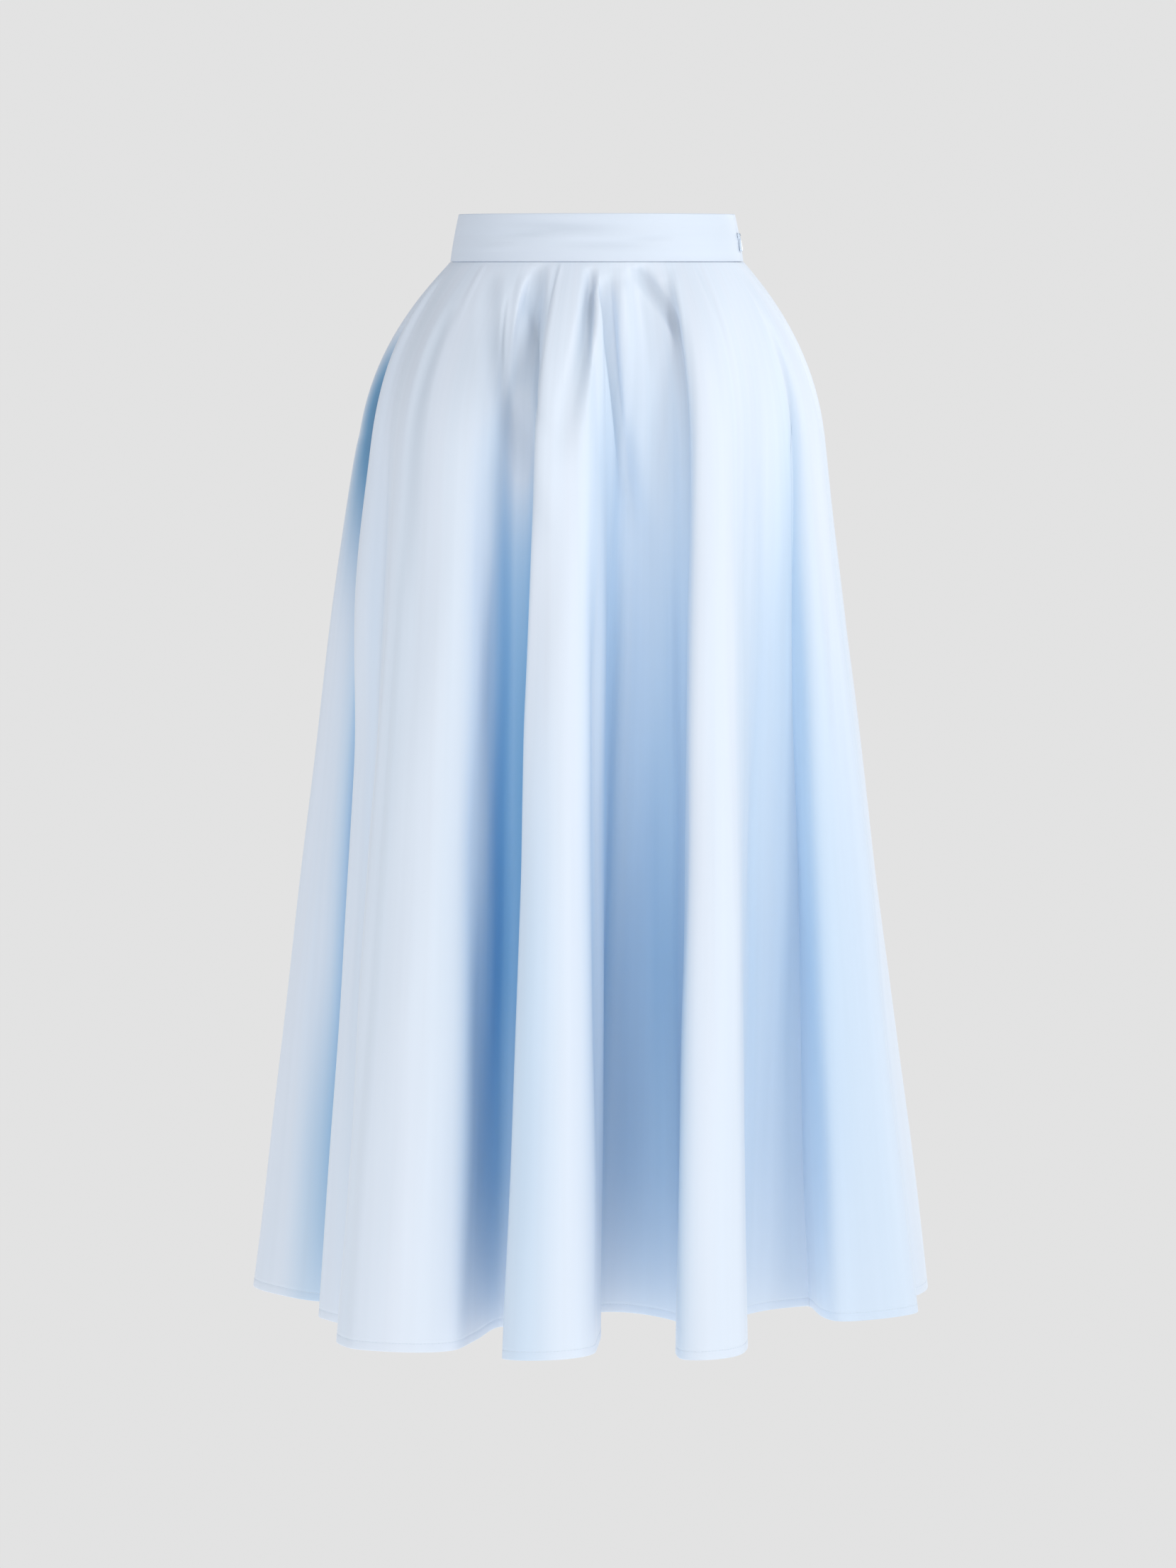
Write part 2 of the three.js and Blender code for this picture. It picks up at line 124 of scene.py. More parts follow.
def oval(axes, bearing):
    """Points of an oval: x is the half-width times the cosine of the bearing in degrees, and y is
    the front or back depth times its sine."""
    half_width, front, back = axes
    angle = np.radians(bearing)
    depth = np.where(np.sin(angle) > 0, back, front)
    return np.stack([half_width * np.cos(angle), depth * np.sin(angle)], -1)


def smooth_step(value):
    """Rises from 0 to 1 as the value does, level at both ends: three squares less two cubes."""
    share = np.clip(value, 0, 1)
    return share * share * (3 - 2 * share)


def bell(value):
    """Cosine bell: 1 at 0, falling to 0 at minus 1 and 1."""
    return 0.5 * (1 + np.cos(np.pi * np.clip(value, -1, 1)))


def unit(vectors):
    """Vectors scaled to length 1."""
    return vectors / np.linalg.norm(vectors, axis=-1, keepdims=True)


def closed_curve(points, samples):
    """Closed centripetal Catmull-Rom curve: between two points a cubic whose end tangents come from
    the neighbours, with knots spaced by the square roots of the chords."""
    before, after, beyond = np.roll(points, 1, 0), np.roll(points, -1, 0), np.roll(points, -2, 0)
    knot_0 = np.sqrt(np.linalg.norm(points - before, axis=1))[:, None]
    knot_1 = np.roll(knot_0, -1, 0)
    knot_2 = np.roll(knot_0, -2, 0)
    leave = (points - before) / knot_0 - (after - before) / (knot_0 + knot_1) + (after - points) / knot_1
    reach = (after - points) / knot_1 - (beyond - points) / (knot_1 + knot_2) + (beyond - after) / knot_2
    leave, reach = leave * knot_1, reach * knot_1
    share = (np.arange(samples) / samples)[None, :, None]
    start, end = points[:, None], after[:, None]
    leave, reach = leave[:, None], reach[:, None]
    curve = (start + leave * share + (3 * (end - start) - 2 * leave - reach) * share ** 2
             + (2 * (start - end) + leave + reach) * share ** 3)
    return curve.reshape(-1, 2)


def monotone(x, y, at):
    """Cubic Hermite curve through knots that never overshoots them: each tangent is the weighted
    harmonic mean of the slopes beside it, or level where they change sign."""
    step = np.diff(x)
    slope = np.diff(y) / step
    same = slope[:-1] * slope[1:] > 0
    before, after = 2 * step[1:] + step[:-1], step[1:] + 2 * step[:-1]
    inverse = before / np.where(same, slope[:-1], 1) + after / np.where(same, slope[1:], 1)
    tangent = np.concatenate([slope[:1], np.where(same, (before + after) / inverse, 0), slope[-1:]])
    i = np.clip(np.searchsorted(x, at, side="right") - 1, 0, len(step) - 1)
    t = (at - x[i]) / step[i]
    rise = t * (1 - t) ** 2 * tangent[i] + t * t * (t - 1) * tangent[i + 1]
    return (1 + 2 * t) * (1 - t) ** 2 * y[i] + t * t * (3 - 2 * t) * y[i + 1] + step[i] * rise


def hem_line():
    """Hem as a closed curve through the chord ends of all ridges and hollows, with the length along
    it, starting from the middle of the first ridge, and the length at each row's middle."""
    direction = np.radians(FLUTES["bearing"])
    turned = np.radians(FLUTES["bearing"] + 90 + FLUTES["twist"])
    middle = FLUTES["reach"][:, None] * np.stack([np.cos(direction), np.sin(direction)], -1)
    half = FLUTES["breadth"][:, None] / 2 * np.stack([np.cos(turned), np.sin(turned)], -1)
    ends = np.stack([middle - half, middle + half], 1).reshape(-1, 2)
    curve = np.roll(closed_curve(ends, HEM_SAMPLES), -HEM_SAMPLES // 2, 0)
    curve = np.concatenate([curve, curve[:1]])
    length = np.concatenate([[0], np.cumsum(np.linalg.norm(np.diff(curve, axis=0), axis=1))])
    return curve, length, length[np.arange(len(FLUTES)) * 2 * HEM_SAMPLES]


hem_curve, hem_length, row_place = hem_line()
hem_round = hem_length[-1]


def round_hem(column, turn, place):
    """Value of a column of the flute table at places along the hem, growing by turn each round."""
    rounds = np.array([-1, 0, 1])[:, None]
    return monotone((row_place + rounds * hem_round).ravel(),
                    (FLUTES[column] + rounds * turn).ravel(), place)


def gather_height(table, root, drop):
    """Sum of the gathers: each a cosine bell across it and a sine arch, skewed upwards by a square
    root, from its start to its end."""
    height = np.zeros(np.broadcast(root, drop).shape)
    for row in table:
        aside = (root - row["bearing"] - row["lean"] * drop + 180) % 360 - 180
        run = np.clip((drop - row["start"]) / (row["end"] - row["start"]), 0, 1)
        height += row["depth"] * bell(aside / row["breadth"]) * np.sin(np.pi * np.sqrt(run))
    return height


def skirt_face(place, drop):
    """Outer face of the skirt. Each line runs straight from the spring oval to its point of the hem,
    is drawn in to the waist seam over the hip by a power of the height left, and carries the gathers
    outwards."""
    foot = np.stack([np.interp(place % hem_round, hem_length, hem_curve[:, i]) for i in (0, 1)], -1)
    root = round_hem("root", 360, place)
    waist = oval(WAIST_SEAM, root)
    top = oval(SPRING, root)
    top = top + round_hem("spring", 0, place)[..., None] * (foot - oval(MEAN_HEM, root))
    hip = np.maximum(1 - drop / HIP_DROP, 0)[..., None] ** HIP_POWER
    out = unit(waist / np.square(WAIST_SEAM[:2]))
    level = top + (foot - top) * (drop / SKIRT_DROP)[..., None] - (top - waist) * hip
    level = level + out * gather_height(GATHERS, root, drop)[..., None]
    return np.concatenate([level, (SEAM_HEIGHT - drop)[..., None]], -1)


# Long creases down the flutes, troughs below and ridges above the plain flute. place, breadth: middle
# and half-width along the hem. height: negative for a trough. start, end: drops where it runs.
LONG_CREASES = np.array([
    (1.900, 0.080, -0.014, 0.00, 0.34),
    (2.060, 0.040, -0.003, 0.20, 1.30),
    (2.115, 0.050, 0.009, 0.10, 0.42),
    (2.150, 0.020, -0.0024, 0.10, 0.58),
    (2.225, 0.018, -0.0040, 0.18, 1.30),
    (2.290, 0.070, 0.0060, 0.05, 1.20),
    (2.500, 0.055, -0.0090, 0.06, 1.30),
    (2.530, 0.050, -0.0100, 0.36, 1.30),
    (2.607, 0.052, 0.0070, 0.15, 1.30),
    (2.670, 0.045, -0.0060, 0.20, 1.00),
    (2.945, 0.050, -0.0050, 0.08, 1.30),
    (3.033, 0.040, 0.0030, 0.12, 1.30),
    (3.300, 0.110, 0.0120, 0.08, 1.10),
    (3.410, 0.022, -0.0020, 0.20, 0.90),
    (0.070, 0.030, -0.0030, 0.15, 1.30),
    (0.245, 0.050, -0.0060, 0.08, 1.30),
    (0.310, 0.050, 0.0050, 0.15, 1.30),
    (0.610, 0.055, -0.0070, 0.10, 1.30),
    (0.690, 0.050, 0.0060, 0.20, 1.20),
    (0.740, 0.016, -0.0025, 0.20, 0.95),
    (1.055, 0.050, -0.0060, 0.08, 1.30),
    (1.130, 0.050, 0.0050, 0.15, 1.30),
    (1.200, 0.050, -0.0050, 0.12, 1.00),
    (1.450, 0.050, -0.0060, 0.10, 1.30),
    (1.530, 0.018, -0.0025, 0.18, 0.85),
], dtype=columns("place", "breadth", "height", "start", "end"))
CREASE_RAMP = 0.16


def long_creases(place, drop):
    """Sum of the long creases: each a cosine bell across it that eases in below its start and out
    above its end."""
    height = np.zeros(np.broadcast(place, drop).shape)
    for row in LONG_CREASES:
        aside = (place - row["place"] + hem_round / 2) % hem_round - hem_round / 2
        begun = smooth_step((drop - row["start"]) / CREASE_RAMP)
        left = smooth_step((row["end"] - drop) / CREASE_RAMP)
        height += row["height"] * bell(aside / row["breadth"]) * begun * left
    return height


# Finer creases, mostly under the waist seam, in the columns of the gathers' table.
CREASES = np.array([
    (183.0, 5.0, -0.0085, 0.012, 0.260, 0),
    (192.0, 4.5, 0.0030, 0.012, 0.260, 0),
    (218.0, 4.5, -0.0026, 0.040, 0.280, 0),
    (236.5, 1.4, -0.0016, 0.030, 0.120, 60),
    (243.1, 1.5, -0.0020, 0.025, 0.150, 121),
    (246.0, 3.0, -0.0025, 0.006, 0.110, 10),
    (256.5, 1.6, 0.0012, 0.002, 0.070, 20),
    (268.2, 2.6, -0.0018, 0.010, 0.165, -45),
    (270.0, 2.4, 0.0030, 0.020, 0.170, 8),
    (270.2, 2.8, -0.0050, 0.010, 0.240, 66),
    (279.0, 6.0, 0.0045, 0.015, 0.300, 35),
    (286.5, 4.0, -0.0018, 0.003, 0.070, 190),
    (294.4, 4.6, -0.0046, 0.016, 0.280, 14),
    (299.5, 4.0, 0.0025, 0.008, 0.220, 5),
    (310.0, 2.6, -0.0008, 0.002, 0.080, 40),
    (222.0, 2.4, 0.0008, 0.002, 0.060, 30),
    (60.0, 2.6, -0.0025, 0.002, 0.110, 20),
    (74.0, 2.0, 0.0018, 0.004, 0.090, 15),
    (91.0, 2.6, 0.0024, 0.003, 0.130, -10),
    (108.5, 2.4, -0.0026, 0.003, 0.150, -20),
    (121.0, 3.0, -0.0024, 0.004, 0.120, -30),
    (348.6, 1.4, -0.0016, 0.124, 0.150, 0),
], dtype=GATHERS.dtype)

# Slow waves of the hanging cloth. strength: share of the full height. across, down: wave lengths.
# slant: how fast the waves drift across with the drop. turn, shift: where they start.
DRAPE_WAVES = np.array([
    (1.0, 0.173, 5.1, 0.7, 0.61, 1.9),
    (0.7, 0.097, -3.3, 0, 0.43, 0.4),
    (0.4, 0.061, 7.7, 2.2, 0.27, 0),
], dtype=columns("strength", "across", "slant", "turn", "down", "shift"))
DRAPE_HEIGHT = 0.0011
DRAPE_SETTLE = 0.30
PUCKER_HEIGHT = 0.00022
PUCKER_REACH = 0.007
PUCKER_LENGTH = 0.023
PUCKER_DRIFT = 1.3
PUCKER_DRIFT_RATE = 31
PUCKER_SETTLE = 0.03


def drape(place, drop):
    """Slow unevenness of hanging cloth: a few long sine waves of unlike lengths across and down, at
    rest at the waist."""
    height = np.zeros(np.broadcast(place, drop).shape)
    for row in DRAPE_WAVES:
        across = np.sin(place * 2 * np.pi / row["across"] + drop * row["slant"] + row["turn"])
        down = np.sin(drop * 2 * np.pi / row["down"] + row["shift"])
        height += row["strength"] * across * down
    return DRAPE_HEIGHT * smooth_step(drop / DRAPE_SETTLE) * height


def seam_pucker(beside, drop):
    """Slight puckers where stitching draws the cloth in at the side seams: short sine waves of uneven
    length, times a bell curve that dies out away from the seam."""
    wave = np.sin(drop * 2 * np.pi / PUCKER_LENGTH + PUCKER_DRIFT * np.sin(drop * PUCKER_DRIFT_RATE))
    side = np.exp(-np.square(beside / PUCKER_REACH))
    return PUCKER_HEIGHT * side * wave * smooth_step(drop / PUCKER_SETTLE)


def face_out(points):
    """Unit normals of a grid of points: the cross product of the steps down and along it."""
    return unit(np.cross(np.gradient(points, axis=0), np.gradient(points, axis=1)))


def cloth_face(place, drop, pucker=0):
    """Outer face of the cloth and its unit normals: the skirt's face moved along its normals by the
    long creases, the finer creases, the drape and a given pucker."""
    base = skirt_face(place, drop)
    relief = long_creases(place, drop) + gather_height(CREASES, round_hem("root", 360, place), drop)
    relief = relief + drape(place, drop) + pucker
    base = base + face_out(base) * relief[..., None]
    return base, face_out(base)


# Edges of the panels. A half gap is half the width that a closed seam shows. A roll is the radius of an
# edge turned in at a seam, and its steps are the shares of it at which there are points. The first rows
# run plainly beside the zip, and elsewhere they are tucked up behind the band.
CLOTH_WALL = 0.0006
SEAM_HALF_GAP = 0.00005
SLIT_HALF_GAP = 0.00008
WAIST_GAP = 0.00012
SEAM_ROLL = 0.0006
ROLL_STEPS = np.array([0, 0.08, 0.3, 0.65, 1.2])
INNER_ROLL = 0.9
ZIP_DROP = 0.140
SLIT_CLOSE = 0.012
PLAIN_ROWS = np.array([0.00004, 0.00008])
TUCKED_ROWS = np.array([-0.0030, -0.0006])
TUCK_DEPTH = 0.0020
TUCK_EASE = 0.006
TAPE_CLEAR = 0.014
FIRST_FLUTE_ROW = 0.0016
FLUTE_ROWS = 68
ROW_POWER = 1.6
PANEL_COLUMNS = 532
SPREAD_STEP = 0.002
HEM_FOLD = 0.007
HEM_WALL = 0.0018
HEM_STEP = 0.0012
HEM_GROOVE = 0.00028
GROOVE_HALF = 0.0011
HEM_CLEAR = 0.003
HEM_ROWS = np.array([HEM_FOLD + 0.0008, HEM_FOLD, HEM_FOLD - 0.0008, HEM_FOLD - 0.002, 0.003,
                     0.0009, 0.0005, 0.0002, 0])


def edge_roll(distance, radius):
    """How far a folded edge has turned in at a distance from it: a quarter circle."""
    left = np.clip(1 - distance / radius, 0, 1)
    return radius * (1 - np.sqrt(1 - left * left))


def seam_columns(start, end, slit, zip_end, spread, count):
    """Columns from seam to seam, and how far each point is from the nearer edge. Beside each seam they
    follow the rolled edge, from half the seam's gap on, and between them they are even. Spread is the
    real length of one unit across at either seam."""
    gaps = [slit if zip_end == side else np.full_like(slit, SEAM_HALF_GAP) for side in (0, 1)]
    turn = SEAM_ROLL * ROLL_STEPS
    first = start + (gaps[0][:, None] + turn) / spread[:, :1]
    last = end - (gaps[1][:, None] + turn[::-1]) / spread[:, 1:]
    middle = first[:, -1:] + (last[:, :1] - first[:, -1:]) * np.linspace(0, 1, count)[1:-1]
    across = np.concatenate([first, middle, last], 1)
    beside = np.minimum((across - first[:, :1]) * spread[:, :1], (last[:, -1:] - across) * spread[:, 1:])
    return across, beside


def panel_grid(start, end, zip_end):
    """Places along the hem and drops of a panel's points, and how far each is from a side seam. Rows
    crowd towards the waist, by a power of their share, and at the hem."""
    roll_rows = WAIST_GAP + SEAM_ROLL * ROLL_STEPS[:-1]
    share = np.arange(1, FLUTE_ROWS + 1) / FLUTE_ROWS
    last_flute_row = SKIRT_DROP - HEM_FOLD - HEM_CLEAR
    flute_rows = FIRST_FLUTE_ROW + (last_flute_row - FIRST_FLUTE_ROW) * share ** ROW_POWER
    drop = np.concatenate([PLAIN_ROWS, roll_rows, flute_rows, SKIRT_DROP - HEM_ROWS])
    seams = np.array([start, end]) + 0 * drop[:, None]
    down = drop[:, None] + np.zeros(2)
    step = skirt_face(seams + SPREAD_STEP / 2, down) - skirt_face(seams - SPREAD_STEP / 2, down)
    spread = np.linalg.norm(step, axis=-1) / SPREAD_STEP
    open_share = np.clip((ZIP_DROP - drop) / SLIT_CLOSE, 0, 1)
    slit = SEAM_HALF_GAP + (SLIT_HALF_GAP - SEAM_HALF_GAP) * open_share
    place, beside = seam_columns(start, end, slit, zip_end, spread, PANEL_COLUMNS)
    return place, np.repeat(drop[:, None], place.shape[1], 1), beside


# Painted shade and painted light on the folds. place, breadth: middle and half-width along the hem.
# drop, length: middle of its run and half its length, as a natural logarithm of the drop. blue, dark:
# the painted shade it adds, as a deeper blue and as grey, negative for painted light where a flank
# turns to the lamps. The first row paints the shadow in the narrow hollow beside the right side flute.
PAINTED_FOLD_SHADES = np.array([
    (1.875, 0.080, 0.130, 0.95, 1.4, 1.0),
    (1.890, 0.050, 0.800, 0.35, 0.40, 0.10),
    (2.365, 0.045, 0.36, 1.1, -0.40, 0),
    (2.395, 0.140, 0.082, 0.90, -0.20, 0.30),
    (2.430, 0.070, 0.155, 0.55, -0.45, 0.08),
    (2.445, 0.060, 0.38, 1.0, 0.38, 0.14),
    (2.548, 0.030, 0.110, 0.70, 0, 0.20),
    (2.575, 0.040, 0.65, 0.9, 0.32, 0),
    (2.690, 0.045, 0.55, 1.3, -0.45, 0),
    (2.860, 0.070, 0.65, 1.0, 0.20, 0),
    (3.005, 0.030, 0.75, 0.6, 0.25, 0),
    (3.230, 0.150, 0.45, 1.3, 0.18, 0.03),
    (3.310, 0.110, 0.22, 0.9, 0.20, 0),
    (3.390, 0.100, 0.60, 1.1, 0.26, 0),
], dtype=columns("place", "breadth", "drop", "length", "blue", "dark"))
LEAST_DROP = 0.001
# Painted shade: the grey painted into creases at their deepest, and the strength of the deeper blue
# painted into the folds at each drop, none at the hem.
CREASE_SHADE = 0.42
CREASE_DEEPEST = 0.008
FOLD_DROPS = np.array([0.0, 0.06, 0.14, 0.30, 0.58, 0.75, SKIRT_DROP])
FOLD_SHADE_TINT = np.array([0.4, 0.5, 0.8, 1.0, 1.1, 0.75, 0.0])
FOLD_PLACES = 620
FAN_RAYS = 20
FAN_HALF = 80
RAY_START = 0.001
RAY_NEAREST = 0.002
LEAST_CROSS = 1e-12


def fold_share(drop):
    """How far each line of the skirt is closed in by its neighbours at one drop: the share of rays in
    the level plane, fanned about the outward normal and weighted by its cosine, that meet cloth."""
    place = np.linspace(0, hem_round, FOLD_PLACES, endpoint=False)
    line = skirt_face(place, np.full(FOLD_PLACES, drop))[:, :2]
    along = unit(np.roll(line, -1, 0) - np.roll(line, 1, 0))
    out = np.stack([along[:, 1], -along[:, 0]], -1)
    line = line + out * long_creases(place, drop)[:, None]
    ahead = np.roll(line, -1, 0) - line
    apart = line[None] - (line + out * RAY_START)[:, None]
    fan = np.radians(np.linspace(-FAN_HALF, FAN_HALF, FAN_RAYS))
    met = np.zeros(FOLD_PLACES)
    for turn in fan:
        ray = out @ np.array([[np.cos(turn), np.sin(turn)], [-np.sin(turn), np.cos(turn)]])
        cross = ray[:, None, 0] * ahead[None, :, 1] - ray[:, None, 1] * ahead[None, :, 0]
        cross = np.where(np.abs(cross) < LEAST_CROSS, LEAST_CROSS, cross)
        reach = (apart[..., 0] * ahead[None, :, 1] - apart[..., 1] * ahead[None, :, 0]) / cross
        share = (apart[..., 0] * ray[:, None, 1] - apart[..., 1] * ray[:, None, 0]) / cross
        met += np.cos(turn) * np.any((reach > RAY_NEAREST) & (share >= 0) & (share <= 1), axis=1)
    return place, met / np.cos(fan).sum()


fold_levels = [fold_share(drop) for drop in FOLD_DROPS]


def paint_fold_shade(place, drop):
    """Painted shade of a panel's points: a deeper blue painted into the folds and grey shade painted
    into the creases. The blue is the share of rays that meet cloth, read between its levels, times the
    tints of the drop and the flute. The shade grows with the depth of the gathers and creases. Each row
    of painted fold shade and light adds a bell across and along it to both."""
    levels = np.stack([np.interp(place[0] % hem_round, *level, period=hem_round) for level in fold_levels])
    level = np.interp(drop[:, 0], FOLD_DROPS, np.arange(len(FOLD_DROPS)))
    low = np.minimum(level.astype(int), len(FOLD_DROPS) - 2)
    part = (level - low)[:, None]
    fold_painted_shade = levels[low] * (1 - part) + levels[low + 1] * part
    fold_painted_shade = fold_painted_shade * np.interp(drop, FOLD_DROPS, FOLD_SHADE_TINT) * round_hem("tint", 0, place % hem_round)
    root = round_hem("root", 360, place)
    dip = -gather_height(GATHERS, root, drop) - gather_height(CREASES, root, drop)
    shade = CREASE_SHADE * np.clip(dip, 0, CREASE_DEEPEST) / CREASE_DEEPEST
    for row in PAINTED_FOLD_SHADES:
        run = np.log(np.maximum(drop, LEAST_DROP) / row["drop"]) / row["length"]
        near = bell((place - row["place"]) / row["breadth"]) * bell(run)
        fold_painted_shade += row["blue"] * near
        shade += row["dark"] * near
    return fold_painted_shade, shade


def quad_mesh(name, points, quads):
    """Smooth mesh object from an array of points and an array of four-cornered faces."""
    mesh = bpy.data.meshes.new(name)
    mesh.vertices.add(len(points))
    mesh.vertices.foreach_set("co", points.astype(np.float32).ravel())
    mesh.loops.add(quads.size)
    mesh.loops.foreach_set("vertex_index", quads.astype(np.int32).ravel())
    mesh.polygons.add(len(quads))
    mesh.polygons.foreach_set("loop_start", np.arange(0, quads.size, 4, dtype=np.int32))
    mesh.polygons.foreach_set("use_smooth", np.ones(len(quads), bool))
    mesh.update(calc_edges=True)
    made = bpy.data.objects.new(name, mesh)
    scene.collection.objects.link(made)
    return made


def cloth_shell(name, outer, inner, flat, hang, fold_painted_shade, shade):
    """Closed thin shell: an outer grid, an inner grid turned round, and strips that join their four
    edges. Two UV maps hold the flat pattern and the place as it hangs, in metres, and two attributes
    hold painted shade: how far each point is folded in and how far a crease shades it."""
    rows, across = outer.shape[:2]
    face = np.arange(rows * across).reshape(rows, across)
    back = face + face.size
    rim = np.concatenate([face[0, :-1], face[:-1, -1], face[-1, :0:-1], face[:0:-1, 0]])
    ahead = np.roll(rim, -1)
    quads = np.concatenate([
        np.stack([face[:-1, :-1], face[1:, :-1], face[1:, 1:], face[:-1, 1:]], -1).reshape(-1, 4),
        np.stack([back[:-1, :-1], back[:-1, 1:], back[1:, 1:], back[1:, :-1]], -1).reshape(-1, 4),
        np.stack([rim, ahead, ahead + face.size, rim + face.size], -1),
    ])
    made = quad_mesh(name, np.concatenate([outer.reshape(-1, 3), inner.reshape(-1, 3)]), quads)
    for map_name, place in (("flat", flat), ("hang", hang)):
        corners = np.tile(place.reshape(-1, 2), (2, 1))[quads.ravel()]
        layer = made.data.uv_layers.new(name=map_name)
        layer.data.foreach_set("uv", corners.astype(np.float32).ravel())
    for layer_name, value in (("fold_painted_shade", fold_painted_shade), ("shade", shade)):
        layer = made.data.attributes.new(layer_name, "FLOAT", "POINT")
        layer.data.foreach_set("value", np.tile(value.ravel(), 2).astype(np.float32))
    return made


def panel(name, start, end, zip_end):
    """One skirt panel: the cloth's face with its edges rolled in at the seams, a stitched hem folded
    double, the wall of the cloth behind it, and painted shade in its folds and creases."""
    place, drop, beside = panel_grid(start, end, zip_end)
    top = slice(len(PLAIN_ROWS))
    tucked = np.zeros(drop.shape)
    tucked[top] = smooth_step((beside[top] - TAPE_CLEAR) / TUCK_EASE)
    drop[top] += tucked[top] * (TUCKED_ROWS - PLAIN_ROWS)[:, None]
    base, out = cloth_face(place, drop, seam_pucker(beside, drop))
    above_hem = SKIRT_DROP - drop
    folded = smooth_step((HEM_FOLD - above_hem) / HEM_STEP + 0.5)
    wall = CLOTH_WALL + (HEM_WALL - CLOTH_WALL) * folded
    seams = edge_roll(beside, SEAM_ROLL) + edge_roll(drop - WAIST_GAP, SEAM_ROLL) + tucked * TUCK_DEPTH
    hem = edge_roll(above_hem, HEM_WALL / 2)
    turned = seams + hem + HEM_GROOVE * bell((above_hem - HEM_FOLD) / GROOVE_HALF)
    inside = wall + seams - hem * INNER_ROLL
    radius = FLAT_INNER_RADIUS + (FLAT_OUTER_RADIUS - FLAT_INNER_RADIUS) * drop / SKIRT_DROP
    angle = np.radians(90 * (place - start) / (end - start))
    flat = np.stack([radius * np.cos(angle), radius * np.sin(angle)], -1)
    hang = np.stack([place, drop], -1)
    return cloth_shell(name, base - out * turned[..., None], base - out * inside[..., None],
                       flat, hang, *paint_fold_shade(place, drop))


def node_group(name, inputs, outputs):
    """Empty shader node group with named sockets."""
    group = bpy.data.node_groups.new(name, "ShaderNodeTree")
    for socket, kind in inputs:
        group.interface.new_socket(socket, in_out="INPUT", socket_type="NodeSocket" + kind)
    for socket, kind in outputs:
        group.interface.new_socket(socket, in_out="OUTPUT", socket_type="NodeSocket" + kind)
    return group, group.nodes.new("NodeGroupInput"), group.nodes.new("NodeGroupOutput")


def set_inputs(node, values):
    """Sets a node's sockets, by name, to fixed values."""
    for socket, value in values.items():
        node.inputs[socket].default_value = value


def weave_group():
    """Satin weave: floats are staggered bricks on the flat pattern, one thread high and five long.
    Streaks are noise drawn out along the cloth as it hangs, and tones the same noise far broader."""
    group, given, made = node_group(
        "satin_weave", [("Flat", "Vector"), ("Hang", "Vector"), ("Thread", "Float")],
        [("Float", "Float"), ("Streak", "Float"), ("Tone", "Float")])
    nodes, links = group.nodes, group.links
    threads = nodes.new("ShaderNodeVectorMath")
    threads.operation = "SCALE"
    floats = nodes.new("ShaderNodeTexBrick")
    floats.offset = 0.4
    set_inputs(floats, {"Scale": 1.0, "Brick Width": 5.0, "Row Height": 1.0, "Mortar Size": 0.12,
                        "Mortar Smooth": 1.0, "Color1": (1, 1, 1, 1), "Color2": (0.8, 0.8, 0.8, 1),
                        "Mortar": (0, 0, 0, 1)})
    links.new(given.outputs["Flat"], threads.inputs[0])
    links.new(given.outputs["Thread"], threads.inputs["Scale"])
    links.new(threads.outputs[0], floats.inputs["Vector"])
    links.new(floats.outputs["Color"], made.inputs["Float"])
    for output, drawn_out in (("Streak", (70, 1.9, 1)), ("Tone", (16, 1.1, 1))):
        drawn = nodes.new("ShaderNodeVectorMath")
        drawn.operation = "MULTIPLY"
        drawn.inputs[1].default_value = drawn_out
        noise = nodes.new("ShaderNodeTexNoise")
        set_inputs(noise, {"Scale": 1.0, "Detail": 3.0})
        links.new(given.outputs["Hang"], drawn.inputs[0])
        links.new(drawn.outputs[0], noise.inputs["Vector"])
        links.new(noise.outputs["Fac"], made.inputs[output])
    return group


satin_weave = weave_group()
THREADS_PER_METRE = 3500
# Colours of the painted shade: the deeper blue of the folds, and the grey that creases are multiplied by.
PAINTED_FOLD_BLUE = (0.28, 0.56, 0.84)
CREASE_SHADE_TONE = (0.38, 0.43, 0.48)


def colour_mix(nodes, kind, **fixed):
    """Colour mix of one kind, with fixed colours on the sockets named."""
    mix = nodes.new("ShaderNodeMix")
    mix.data_type = "RGBA"
    mix.blend_type = kind
    for socket, colour in fixed.items():
        mix.inputs[socket].default_value = (*colour, 1)
    return mix


